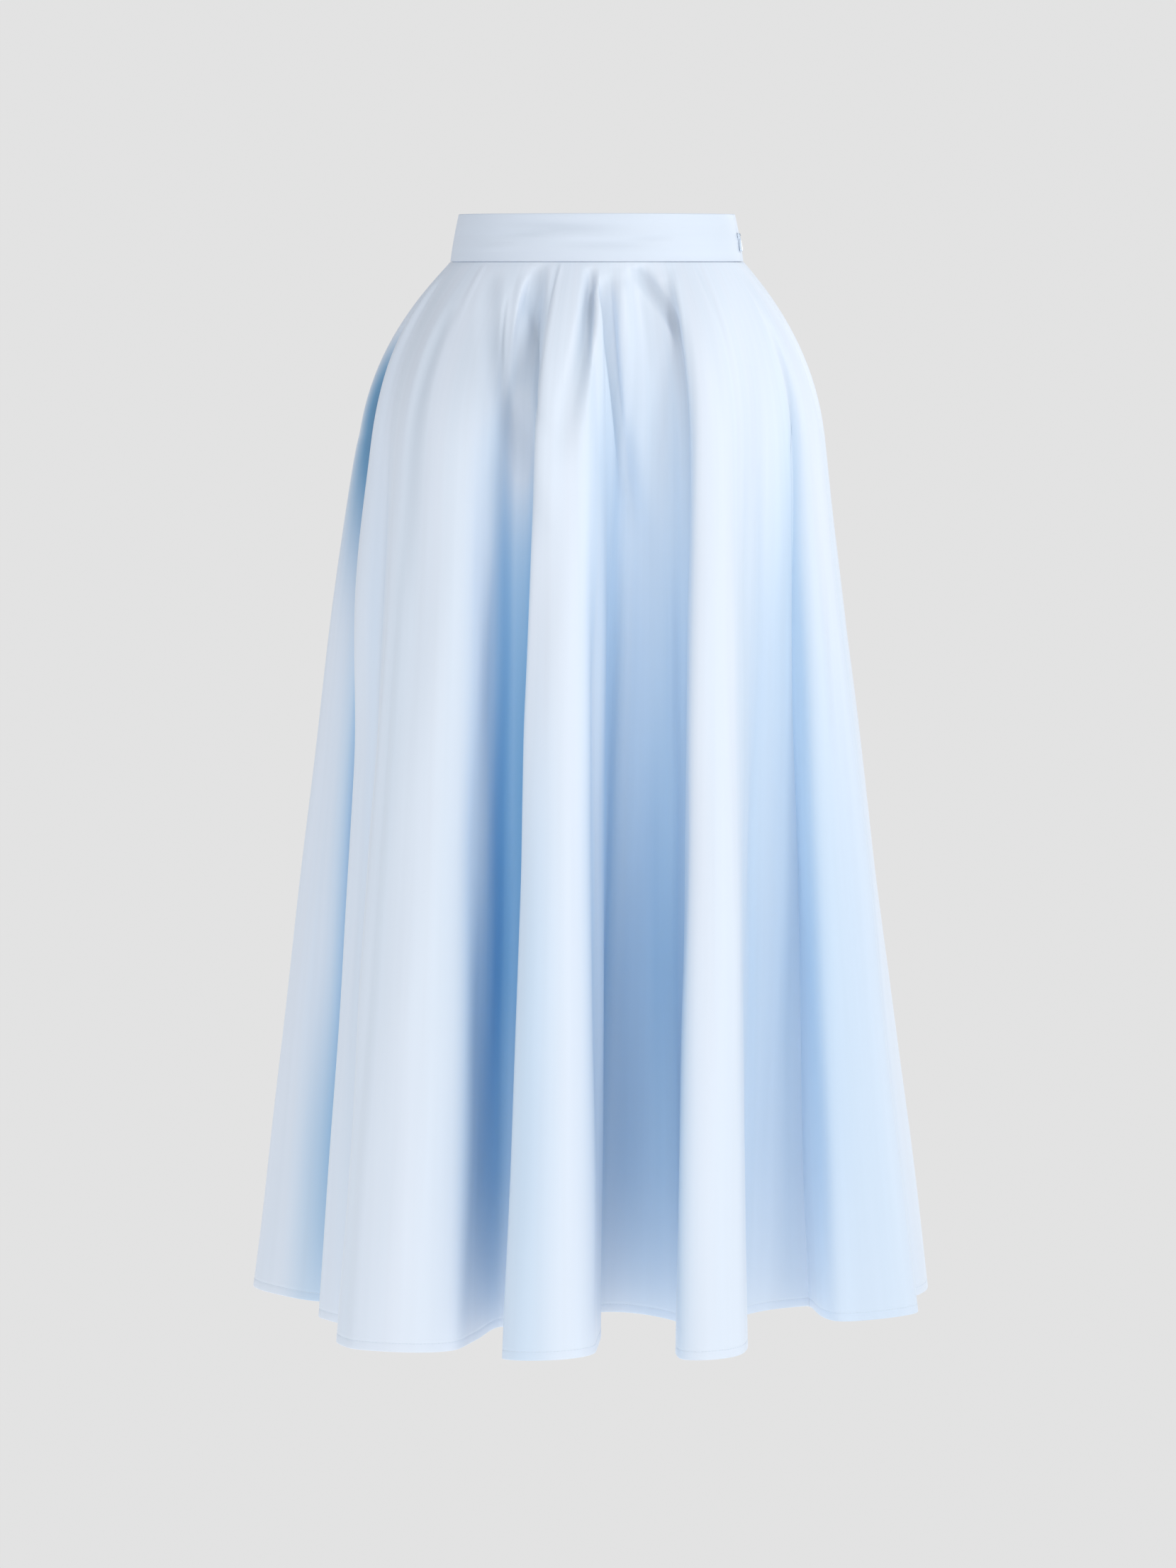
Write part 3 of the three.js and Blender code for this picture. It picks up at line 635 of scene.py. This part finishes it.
def satin_cloth(name, warm, cool, roughness):
    """Satin-weave cotton: a pale blue that drifts between two tones, with a deeper blue painted as shade
    where the cloth is folded in and grey shade painted in creases, faintly streaked, with a fine bump of
    floats and a soft gloss."""
    material = bpy.data.materials.new(name)
    material.use_nodes = True
    nodes, links = material.node_tree.nodes, material.node_tree.links
    shader = nodes["Principled BSDF"]
    weave = nodes.new("ShaderNodeGroup")
    weave.node_tree = satin_weave
    weave.inputs["Thread"].default_value = THREADS_PER_METRE
    for map_name, socket in (("flat", "Flat"), ("hang", "Hang")):
        cloth_map = nodes.new("ShaderNodeUVMap")
        cloth_map.uv_map = map_name
        links.new(cloth_map.outputs["UV"], weave.inputs[socket])
    fold_painted_shade = nodes.new("ShaderNodeAttribute")
    fold_painted_shade.attribute_name = "fold_painted_shade"
    crease_shade_node = nodes.new("ShaderNodeAttribute")
    crease_shade_node.attribute_name = "shade"
    tone = colour_mix(nodes, "MIX", A=warm, B=cool)
    # Painted shade: a deeper blue is painted where the cloth is folded in, and grey is multiplied in along
    # the creases.
    folded = colour_mix(nodes, "MIX", B=PAINTED_FOLD_BLUE)
    crease_shaded = colour_mix(nodes, "MULTIPLY", B=CREASE_SHADE_TONE)
    streaked = colour_mix(nodes, "MULTIPLY")
    streaked.inputs["Factor"].default_value = 1.0
    streak = nodes.new("ShaderNodeMapRange")
    set_inputs(streak, {"From Min": 0.25, "From Max": 0.75, "To Min": 0.96, "To Max": 1.0})
    bump = nodes.new("ShaderNodeBump")
    set_inputs(bump, {"Strength": 0.06, "Distance": 0.0001})
    links.new(weave.outputs["Tone"], tone.inputs["Factor"])
    links.new(fold_painted_shade.outputs["Fac"], folded.inputs["Factor"])
    links.new(crease_shade_node.outputs["Fac"], crease_shaded.inputs["Factor"])
    links.new(weave.outputs["Streak"], streak.inputs["Value"])
    links.new(tone.outputs["Result"], folded.inputs["A"])
    links.new(folded.outputs["Result"], crease_shaded.inputs["A"])
    links.new(crease_shaded.outputs["Result"], streaked.inputs["A"])
    links.new(streak.outputs["Result"], streaked.inputs["B"])
    links.new(streaked.outputs["Result"], shader.inputs["Base Color"])
    links.new(weave.outputs["Float"], bump.inputs["Height"])
    links.new(bump.outputs["Normal"], shader.inputs["Normal"])
    set_inputs(shader, {"Roughness": roughness, "Specular IOR Level": 0.35, "Sheen Weight": 0.15,
                        "Sheen Roughness": 0.4, "Sheen Tint": (1, 1, 1, 1)})
    return material


zip_row = list(FLUTES["name"]).index("left_seam_hollow")
far_row = list(FLUTES["name"]).index("right_seam_hollow")
zip_place, far_place = row_place[zip_row], row_place[far_row]
back_span = (zip_place - hem_round, far_place)
front_span = (far_place, zip_place)
skirt_back = panel("skirt_back_cloth", *back_span, 0)
skirt_front = panel("skirt_front_cloth", *front_span, 1)
skirt_cloth = satin_cloth("skirt_satin", (0.78, 0.83, 0.93), (0.72, 0.83, 0.95), 0.48)
for made, node in ((skirt_back, "skirt_back"), (skirt_front, "skirt_front")):
    made.data.materials.append(skirt_cloth)
    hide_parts(node)
    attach(made, "skirt")


# Hem stitches: a row of machine stitches in thread of the cloth's colour, which sinks a little into
# the cloth along the turned-up hem.
STITCH_PITCH = 0.0028
STITCH_SHARE = 0.8
STITCH_RADIUS = 0.00022
STITCH_RINGS = 5
STITCH_SIDES = 6
STITCH_LIFT = 0.6
STITCH_SINK = 0.2
STITCH_TIP = 0.5
STITCH_MARGIN = 0.003
STITCH_STEP = 0.001


def stitches(name, starts, ends, outs):
    """Short bowed tubes from starts to ends: rings about each line, lifted by a sine along the outward
    direction and narrowed to the ends, closed by two faces at each end."""
    beside = np.cross(outs, unit(ends - starts))
    share = np.linspace(0, 1, STITCH_RINGS)
    lift = np.sin(np.pi * share)
    middle = starts[:, None] + (ends - starts)[:, None] * share[:, None]
    middle = middle + outs[:, None] * STITCH_RADIUS * (STITCH_LIFT * lift[:, None] - STITCH_SINK)
    turn = np.arange(STITCH_SIDES) * 2 * np.pi / STITCH_SIDES
    girth = STITCH_RADIUS * (STITCH_TIP + (1 - STITCH_TIP) * lift)[None, :, None, None]
    ring = np.cos(turn)[:, None] * outs[:, None, None] + np.sin(turn)[:, None] * beside[:, None, None]
    points = middle[:, :, None] + girth * ring
    one = np.arange(STITCH_RINGS * STITCH_SIDES).reshape(STITCH_RINGS, STITCH_SIDES)
    round_one = np.roll(one, -1, 1)
    tube = np.stack([one[:-1], one[1:], round_one[1:], round_one[:-1]], -1).reshape(-1, 4)
    first, last = one[0], one[-1]
    caps = np.array([first[[0, 1, 2, 3]], first[[0, 3, 4, 5]], last[[3, 2, 1, 0]], last[[5, 4, 3, 0]]])
    quads = np.concatenate([tube, caps])
    offset = np.arange(len(starts))[:, None, None] * one.size
    return quad_mesh(name, points.reshape(-1, 3), (quads + offset).reshape(-1, 4))


def hem_stitches(name, start, end):
    """Stitches along a panel's hem, the height of the hem above its edge, at an even pitch."""
    count = int((end - start - 2 * STITCH_MARGIN) / STITCH_PITCH)
    begin = start + STITCH_MARGIN + np.arange(count) * STITCH_PITCH
    place = np.stack([begin, begin + STITCH_PITCH * STITCH_SHARE], -1).ravel()
    drop = SKIRT_DROP - HEM_FOLD + np.array([-STITCH_STEP, 0, STITCH_STEP])
    face, out = cloth_face(*np.meshgrid(place, drop))
    point = face[1] - out[1] * HEM_GROOVE
    return stitches(name, point[::2], point[1::2], out[1, ::2])


def grained(name, kind, scale, tones, gloss, height, fixed=()):
    """Finish that follows one texture in the piece's own place: colour and roughness run from a low to
    a high value with it, and it stands up as a fine bump. Fixed values are set on the shader."""
    material = bpy.data.materials.new(name)
    material.use_nodes = True
    nodes, links = material.node_tree.nodes, material.node_tree.links
    shader = nodes["Principled BSDF"]
    place = nodes.new("ShaderNodeTexCoord")
    field = nodes.new("ShaderNodeTex" + kind)
    field.inputs["Scale"].default_value = scale
    if kind == "Wave":
        field.bands_direction = "Z"
    colour = colour_mix(nodes, "MIX", A=tones[0], B=tones[1])
    rough = nodes.new("ShaderNodeMapRange")
    set_inputs(rough, {"To Min": gloss[0], "To Max": gloss[1]})
    bump = nodes.new("ShaderNodeBump")
    set_inputs(bump, {"Strength": 0.3, "Distance": height})
    links.new(place.outputs["Object"], field.inputs["Vector"])
    for driven in (colour.inputs["Factor"], rough.inputs["Value"], bump.inputs["Height"]):
        links.new(field.outputs["Fac"], driven)
    links.new(colour.outputs["Result"], shader.inputs["Base Color"])
    links.new(rough.outputs["Result"], shader.inputs["Roughness"])
    links.new(bump.outputs["Normal"], shader.inputs["Normal"])
    set_inputs(shader, dict(fixed))
    return material


back_stitches = hem_stitches("back_hem_stitches", *back_span)
front_stitches = hem_stitches("front_hem_stitches", *front_span)
hem_thread = grained("hem_thread", "Noise", 4000, ((0.60, 0.68, 0.78), (0.75, 0.84, 0.95)),
                     (0.55, 0.70), 0.0001)
for made, sewn in ((skirt_back, back_stitches), (skirt_front, front_stitches)):
    sewn.data.materials.append(hem_thread)
    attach(sewn, "skirt")


# Waistband: two halves of a contoured band, the same cloth folded over stiffening. Its top edge is
# a fold and its lower edge closes the waist seam; wear across the front leaves soft level creases.
BAND_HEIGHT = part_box("waistband_front")[1].z - SEAM_HEIGHT
BAND_TOP = (0.1167, 0.088, 0.088)
BAND_CROWN = 0.0005
BAND_WALL = 0.0022
BAND_ROWS = 30
BAND_COLUMNS = 220
BAND_DEEPEST = 0.0035
BAND_SLIT = 0.0014
SLIT_EASE = 0.009
SLIDER_DEPTH = 0.0180
ZIP_BEARING = FLUTES["root"][zip_row]
FAR_BEARING = FLUTES["root"][far_row]

# Creases of the band. bearing, depth: its middle, in degrees and metres below the top edge.
# length, breadth: half its length in degrees and half its breadth. height: negative for a trough.
# slope: how far it falls in each degree.
BAND_CREASES = np.array([
    (256, 0.010, 34, 0.007, -0.0011, 0.00006),
    (264, 0.019, 24, 0.006, 0.0008, 0.00004),
    (244, 0.016, 20, 0.005, -0.0008, -0.00006),
    (274, 0.026, 26, 0.006, -0.0007, 0.00005),
    (300, 0.012, 16, 0.005, 0.0006, 0.00004),
    (292, 0.021, 14, 0.004, -0.0006, -0.00004),
    (228, 0.028, 16, 0.005, 0.0007, -0.00006),
    (84, 0.011, 24, 0.006, -0.0010, 0.00004),
    (100, 0.022, 20, 0.006, 0.0008, -0.00003),
    (66, 0.027, 16, 0.005, -0.0008, 0.00004),
    (118, 0.014, 14, 0.005, 0.0006, 0.00003),
], dtype=columns("bearing", "depth", "length", "breadth", "height", "slope"))


def band_face(bearing, depth):
    """Outer face of the band: straight from the top oval to the waist seam's, with a slight crown
    that is highest halfway down."""
    share = (depth / BAND_HEIGHT)[..., None]
    edge = oval(BAND_TOP, bearing) * (1 - share) + oval(WAIST_SEAM, bearing) * share
    radius = np.linalg.norm(edge, axis=-1, keepdims=True)
    edge = edge * (1 + BAND_CROWN * (1 - (2 * share - 1) ** 2) / radius)
    return np.concatenate([edge, (SEAM_HEIGHT + BAND_HEIGHT - depth)[..., None]], -1)


def band_relief(bearing, depth):
    """Level creases: each a cosine bell along and across a line that slopes a little."""
    height = np.zeros(np.broadcast(bearing, depth).shape)
    for row in BAND_CREASES:
        aside = (bearing - row["bearing"] + 180) % 360 - 180
        below = depth - row["depth"] - row["slope"] * aside
        height += row["height"] * bell(aside / row["length"]) * bell(below / row["breadth"])
    return height


def band_half(name, start, end, zip_end):
    """Half of the waistband: a folded wall, round along its top edge and rolled in at its seams. Its
    slit at the zip widens about the slider by a cosine bell."""
    top, foot = BAND_WALL / 2 * ROLL_STEPS, SEAM_ROLL * ROLL_STEPS
    even = np.linspace(top[-1], BAND_HEIGHT - foot[-1], BAND_ROWS)[1:-1]
    depth = np.concatenate([top, even, BAND_HEIGHT - foot[::-1]])
    slit = SLIT_HALF_GAP + (BAND_SLIT / 2 - SLIT_HALF_GAP) * bell((depth - SLIDER_DEPTH) / SLIT_EASE)
    degree = np.full((len(depth), 2), np.radians(1) * WAIST_SEAM[0])
    bearing, beside = seam_columns(start, end, slit, zip_end, degree, BAND_COLUMNS)
    depth = np.repeat(depth[:, None], bearing.shape[1], 1)
    base = band_face(bearing, depth)
    out = face_out(base)
    relief = band_relief(bearing, depth)
    base = base + out * relief[..., None]
    rounded = edge_roll(depth, BAND_WALL / 2)
    turned = rounded + edge_roll(beside, SEAM_ROLL) + edge_roll(BAND_HEIGHT - depth, SEAM_ROLL)
    inside = BAND_WALL - INNER_ROLL * rounded
    flat = np.stack([np.radians(bearing) * WAIST_SEAM[0], depth], -1)
    # Painted shade: the troughs of the band's creases are greyed by their depth.
    shade = np.clip(-relief / BAND_DEEPEST, 0, 1) * CREASE_SHADE
    return cloth_shell(name, base - out * turned[..., None], base - out * inside[..., None],
                       flat, flat[..., ::-1], np.zeros(depth.shape), shade)


# The band's satin is a darker, greyer copy of the skirt's: painted shade for the band's crosswise sheen,
# which catches less light.
shaded_band_satin = satin_cloth("band_satin_shaded", (0.73, 0.79, 0.89), (0.68, 0.78, 0.90), 0.52)
band_back = band_half("waistband_back_cloth", ZIP_BEARING - 360, FAR_BEARING, 0)
band_front = band_half("waistband_front_cloth", FAR_BEARING, ZIP_BEARING, 1)
for made, node in ((band_back, "waistband_back"), (band_front, "waistband_front")):
    made.data.materials.append(shaded_band_satin)
    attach(made, "skirt")
    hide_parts(node)


# Zip: a concealed zip in the wearer's left side seam. Its two nylon coils are sewn behind a woven tape
# inside the seam; the metal slider rides on the coils, and its bridge comes out through the slit to
# carry an enamelled pull tab. A short bar of thread ends the zip.
TAPE_SEAT = 0.0030
TAPE_INSET = 0.00205
TAPE_WALL = 0.0010
TAPE_LIFT = 0.0018
TAPE_EASE = 0.026
BAND_SPAN = 0.5
SKIRT_SPAN = 0.004
COIL_DEPTHS = np.array([0.023, 0.031])
COIL_DROPS = np.array([0.008, 0.018, 0.032, 0.050, 0.070, 0.090, 0.112, ZIP_DROP])
COIL_WIDTH = 0.00095
COIL_HEIGHT = 0.00075
COIL_APART = 0.00055
COIL_WIRE = 0.00026
COIL_PITCH = 0.0011
COIL_STEPS = 14
WIRE_SIDES = 6
SLIDER_HALF = (0.0023, 0.0042, 0.0014)
SLIDER_TAPER = 0.25
SLIDER_END = 0.02
SLIDER_STEP = 0.001
SLIDER_RINGS = 17
SLIDER_SIDES = 24
TACK_STITCHES = 7
TACK_GAP = 0.00038
TACK_HALF = 0.0017


def ring_mesh(name, rings):
    """Closed tube through rings of points: faces between neighbouring rings, and a strip of faces
    across each end ring."""
    count, sides = rings.shape[:2]
    ring = np.arange(count * sides).reshape(count, sides)
    ahead = np.roll(ring, -1, 1)
    wall = np.stack([ring[:-1], ring[1:], ahead[1:], ahead[:-1]], -1).reshape(-1, 4)
    half = np.arange(sides // 2 - 1)
    strip = np.stack([half, half + 1, sides - 2 - half, sides - 1 - half], -1)
    return quad_mesh(name, rings.reshape(-1, 3),
                     np.concatenate([wall, ring[0][strip], ring[-1][strip[:, ::-1]]]))


def tape_back(face, middle, down, inset, span):
    """Points of the tape's inner face behind the middle of the seam, with the directions out and along
    the waist there: a face moved in along its normals by an inset and the tape's wall."""
    grid = face(middle + np.array([-span, 0, span]) + 0 * down[:, None], down[:, None] + np.zeros(3))
    out = face_out(grid)[:, 1]
    return grid[:, 1] - out * (inset + TAPE_WALL)[:, None], out, grid[:, 2] - grid[:, 0]


def zip_line(count):
    """Line down the tape's inner face, with its directions out and along the waist: smooth curves
    through points behind the band and the skirt, where the tape eases back against the cloth."""
    seat = np.full(len(COIL_DEPTHS), TAPE_SEAT)
    ease = np.maximum(1 - COIL_DROPS / TAPE_EASE, 0) ** 2
    band_part = tape_back(band_face, ZIP_BEARING, COIL_DEPTHS, seat, BAND_SPAN)
    skirt_part = tape_back(skirt_face, zip_place, COIL_DROPS, TAPE_INSET + TAPE_LIFT * ease, SKIRT_SPAN)
    knots = np.concatenate([COIL_DEPTHS, BAND_HEIGHT + COIL_DROPS])
    at = np.linspace(knots[0], knots[-1], count)
    return [np.stack([monotone(knots, np.concatenate(pair)[:, i], at) for i in range(3)], -1)
            for pair in zip(band_part, skirt_part)]


def zip_coil(name, side):
    """One coil of the zip: a thin wire wound in flattened turns along the line behind the tape, beside
    its middle. The other coil is half a pitch behind, so that their turns lie between each other."""
    turns = int((COIL_DROPS[-1] + BAND_HEIGHT - COIL_DEPTHS[0]) / COIL_PITCH)
    middle, out, beside = zip_line(turns * COIL_STEPS)
    out, beside = unit(out), unit(beside)
    angle = np.arange(turns * COIL_STEPS) * 2 * np.pi / COIL_STEPS + np.pi * (side > 0)
    across = (np.cos(angle) * COIL_WIDTH)[:, None]
    away = (np.sin(angle) * COIL_HEIGHT - COIL_HEIGHT - COIL_WIRE)[:, None]
    wire = middle + beside * (across + side * COIL_APART) + out * away
    along = unit(np.gradient(wire, axis=0))
    lift = beside * np.cos(angle)[:, None] + out * np.sin(angle)[:, None]
    lift = unit(lift - along * np.sum(lift * along, -1, keepdims=True))
    turn = np.arange(WIRE_SIDES)[:, None] * 2 * np.pi / WIRE_SIDES
    ring = np.cos(turn) * lift[:, None] + np.sin(turn) * np.cross(lift, along)[:, None]
    return ring_mesh(name, wire[:, None] + ring * COIL_WIRE)


def slider_body(name):
    """Slider's body behind the tape: rounded rings down its length, which narrow to the lower end.
    Their size is the square root of one less the fourth power of the way from the middle."""
    depths = SLIDER_DEPTH + np.array([0, SLIDER_STEP])
    back, out, beside = (part[0] for part in tape_back(
        band_face, ZIP_BEARING, depths, np.full(2, TAPE_SEAT), BAND_SPAN))
    beside = unit(beside)
    down = np.cross(beside, out)
    half_width, half_length, half_height = SLIDER_HALF
    share = np.sin(np.linspace(-1, 1, SLIDER_RINGS) * np.pi / 2)
    arch = np.sqrt(np.maximum(1 - share ** 4, SLIDER_END))
    turn = np.arange(SLIDER_SIDES) * 2 * np.pi / SLIDER_SIDES
    square = (np.cos(turn) ** 4 + np.sin(turn) ** 4) ** -0.25
    narrow = arch * half_width * (1 - SLIDER_TAPER * smooth_step(share))
    width = narrow[:, None] * square * np.cos(turn)
    height = (arch * half_height)[:, None] * square * np.sin(turn)
    rings = (back - out * (half_height + 2 * COIL_WIRE) + (share * half_length)[:, None, None] * down
             + width[..., None] * beside - height[..., None] * out)
    return ring_mesh(name, rings)


def zip_tack(name):
    """Bar of stitches across the seam at the foot of the zip, one below the other."""
    drop = ZIP_DROP + (np.arange(TACK_STITCHES) - (TACK_STITCHES - 1) / 2) * TACK_GAP
    ends = np.array([-TACK_HALF, TACK_HALF])
    across = np.diff(skirt_face(zip_place + ends, np.full(2, ZIP_DROP)), axis=0)
    place = zip_place + ends * 2 * TACK_HALF / np.linalg.norm(across)
    face, out = cloth_face(*np.meshgrid(place, drop))
    return stitches(name, face[:, 0], face[:, 1], out[:, 0])


nylon = grained("zip_nylon", "Noise", 1500, ((0.66, 0.76, 0.88), (0.78, 0.86, 0.95)),
                (0.35, 0.5), 0.00005)
woven_tape = grained("zip_tape_weave", "Wave", 480, ((0.62, 0.72, 0.82), (0.78, 0.87, 0.95)),
                     (0.65, 0.85), 0.0002)
slider_metal = grained("slider_metal", "Noise", 900, ((0.42, 0.46, 0.52), (0.60, 0.65, 0.71)),
                       (0.16, 0.36), 0.00003, {"Metallic": 1.0})
pull_enamel = grained("pull_enamel", "Noise", 350, ((0.62, 0.71, 0.82), (0.74, 0.83, 0.93)),
                      (0.18, 0.30), 0.00003, {"Coat Weight": 0.5, "Coat Roughness": 0.12})
for node, material in (("zip_tape", woven_tape), ("zip_slider", slider_metal), ("zip_pull", pull_enamel)):
    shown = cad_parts[node].data.materials
    shown.clear()
    shown.append(material)
for made, material, slot in ((zip_coil("zip_coil_back", 1), nylon, "zip_tape"),
                             (zip_coil("zip_coil_front", -1), nylon, "zip_tape"),
                             (slider_body("zip_slider_body"), slider_metal, "slider_metal"),
                             (zip_tack("zip_tack"), hem_thread, "skirt_cloth")):
    made.data.materials.append(material)
    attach(made, "skirt")


# Floor: a plain pale studio floor, far enough below the hem that the skirt hangs clear of it. It shows
# the backdrop's even grey and throws a little more light up than that.
FLOOR_HEIGHT = -1.10
FLOOR_RINGS = np.array([0.02, 0.5, 1.5, 4.0, 9.0])
FLOOR_SIDES = 96
STUDIO_GREY = (0.767, 0.767, 0.767, 1)
FLOOR_BOUNCE = 1.35
ring_angle = np.linspace(0, 2 * np.pi, FLOOR_SIDES + 1)[:-1]
floor_points = np.stack([
    FLOOR_RINGS[:, None] * np.cos(ring_angle), FLOOR_RINGS[:, None] * np.sin(ring_angle),
    np.full((len(FLOOR_RINGS), FLOOR_SIDES), FLOOR_HEIGHT)], -1).reshape(-1, 3)
floor_ring = np.arange(len(floor_points)).reshape(len(FLOOR_RINGS), -1)
floor_ahead = np.roll(floor_ring, -1, 1)
floor = quad_mesh("studio_floor", floor_points, np.stack(
    [floor_ring[:-1], floor_ring[1:], floor_ahead[1:], floor_ahead[:-1]], -1).reshape(-1, 4))
floor_paint = bpy.data.materials.new("studio_paint")
floor_paint.use_nodes = True
floor_nodes, floor_links = floor_paint.node_tree.nodes, floor_paint.node_tree.links
paint = floor_nodes["Principled BSDF"]
set_inputs(paint, {"Base Color": (0, 0, 0, 1), "Specular IOR Level": 0.0, "Emission Color": STUDIO_GREY})
seen = floor_nodes.new("ShaderNodeLightPath")
glow = floor_nodes.new("ShaderNodeMapRange")
set_inputs(glow, {"To Min": FLOOR_BOUNCE, "To Max": 1.0})
floor_links.new(seen.outputs["Is Camera Ray"], glow.inputs["Value"])
floor_links.new(glow.outputs["Result"], paint.inputs["Emission Strength"])
floor.data.materials.append(floor_paint)


# Studio light: an even pale room before a grey backdrop, with soft lamps high on the right, low in
# front, to the right and behind.
ROOM_TINT = (0.98, 1.0, 1.04, 1)
ROOM_STRENGTH = 0.54
studio = bpy.data.worlds.new("studio")
scene.world = studio
studio.use_nodes = True
studio_nodes, studio_links = studio.node_tree.nodes, studio.node_tree.links
backdrop = studio_nodes["Background"]
backdrop.inputs["Color"].default_value = STUDIO_GREY
room = studio_nodes.new("ShaderNodeBackground")
set_inputs(room, {"Color": ROOM_TINT, "Strength": ROOM_STRENGTH})
seen = studio_nodes.new("ShaderNodeLightPath")
choice = studio_nodes.new("ShaderNodeMixShader")
studio_links.new(seen.outputs["Is Camera Ray"], choice.inputs["Fac"])
studio_links.new(room.outputs[0], choice.inputs[1])
studio_links.new(backdrop.outputs[0], choice.inputs[2])
studio_links.new(choice.outputs[0], studio_nodes["World Output"].inputs["Surface"])
scene.view_settings.view_transform = "Standard"

# Lamps: name, place, size, power in watts and tint. All face the middle of the skirt.
LAMP_AIM = (0, -0.1, -0.5)
LAMPS = [
    ("high_right", (1.7, -1.5, 1.6), 0.7, 22, (1, 0.97, 0.93)),
    ("low_front", (-0.7, -3.3, -0.85), 1.4, 27, (1, 0.96, 0.91)),
    ("right", (3.2, -0.8, 0.6), 1.6, 14, (0.88, 0.97, 1)),
    ("rear", (2.2, 2.6, 0.8), 1.6, 15, (1, 0.98, 0.93)),
]
for name, place, size, power, tint in LAMPS:
    light = bpy.data.lights.new(name, "AREA")
    light.size = size
    light.energy = power
    light.color = tint
    lamp = bpy.data.objects.new(name, light)
    lamp.location = place
    lamp.rotation_euler = (Vector(LAMP_AIM) - Vector(place)).to_track_quat("-Z", "Y").to_euler()
    scene.collection.objects.link(lamp)


# Camera: level with the waist seam and 4 m in front of the skirt, looking a little down.
CAMERA_PLACE = (-0.0075, -4.0, SEAM_HEIGHT)
CAMERA_PITCH = 6.347
CAMERA_LENS = 107.83
SENSOR_WIDTH = 36
camera = bpy.data.cameras.new("camera")
camera.lens = CAMERA_LENS
camera.sensor_width = SENSOR_WIDTH
viewer = bpy.data.objects.new("camera", camera)
viewer.location = CAMERA_PLACE
viewer.rotation_euler = (math.radians(90 - CAMERA_PITCH), 0, 0)
scene.collection.objects.link(viewer)
scene.camera = viewer
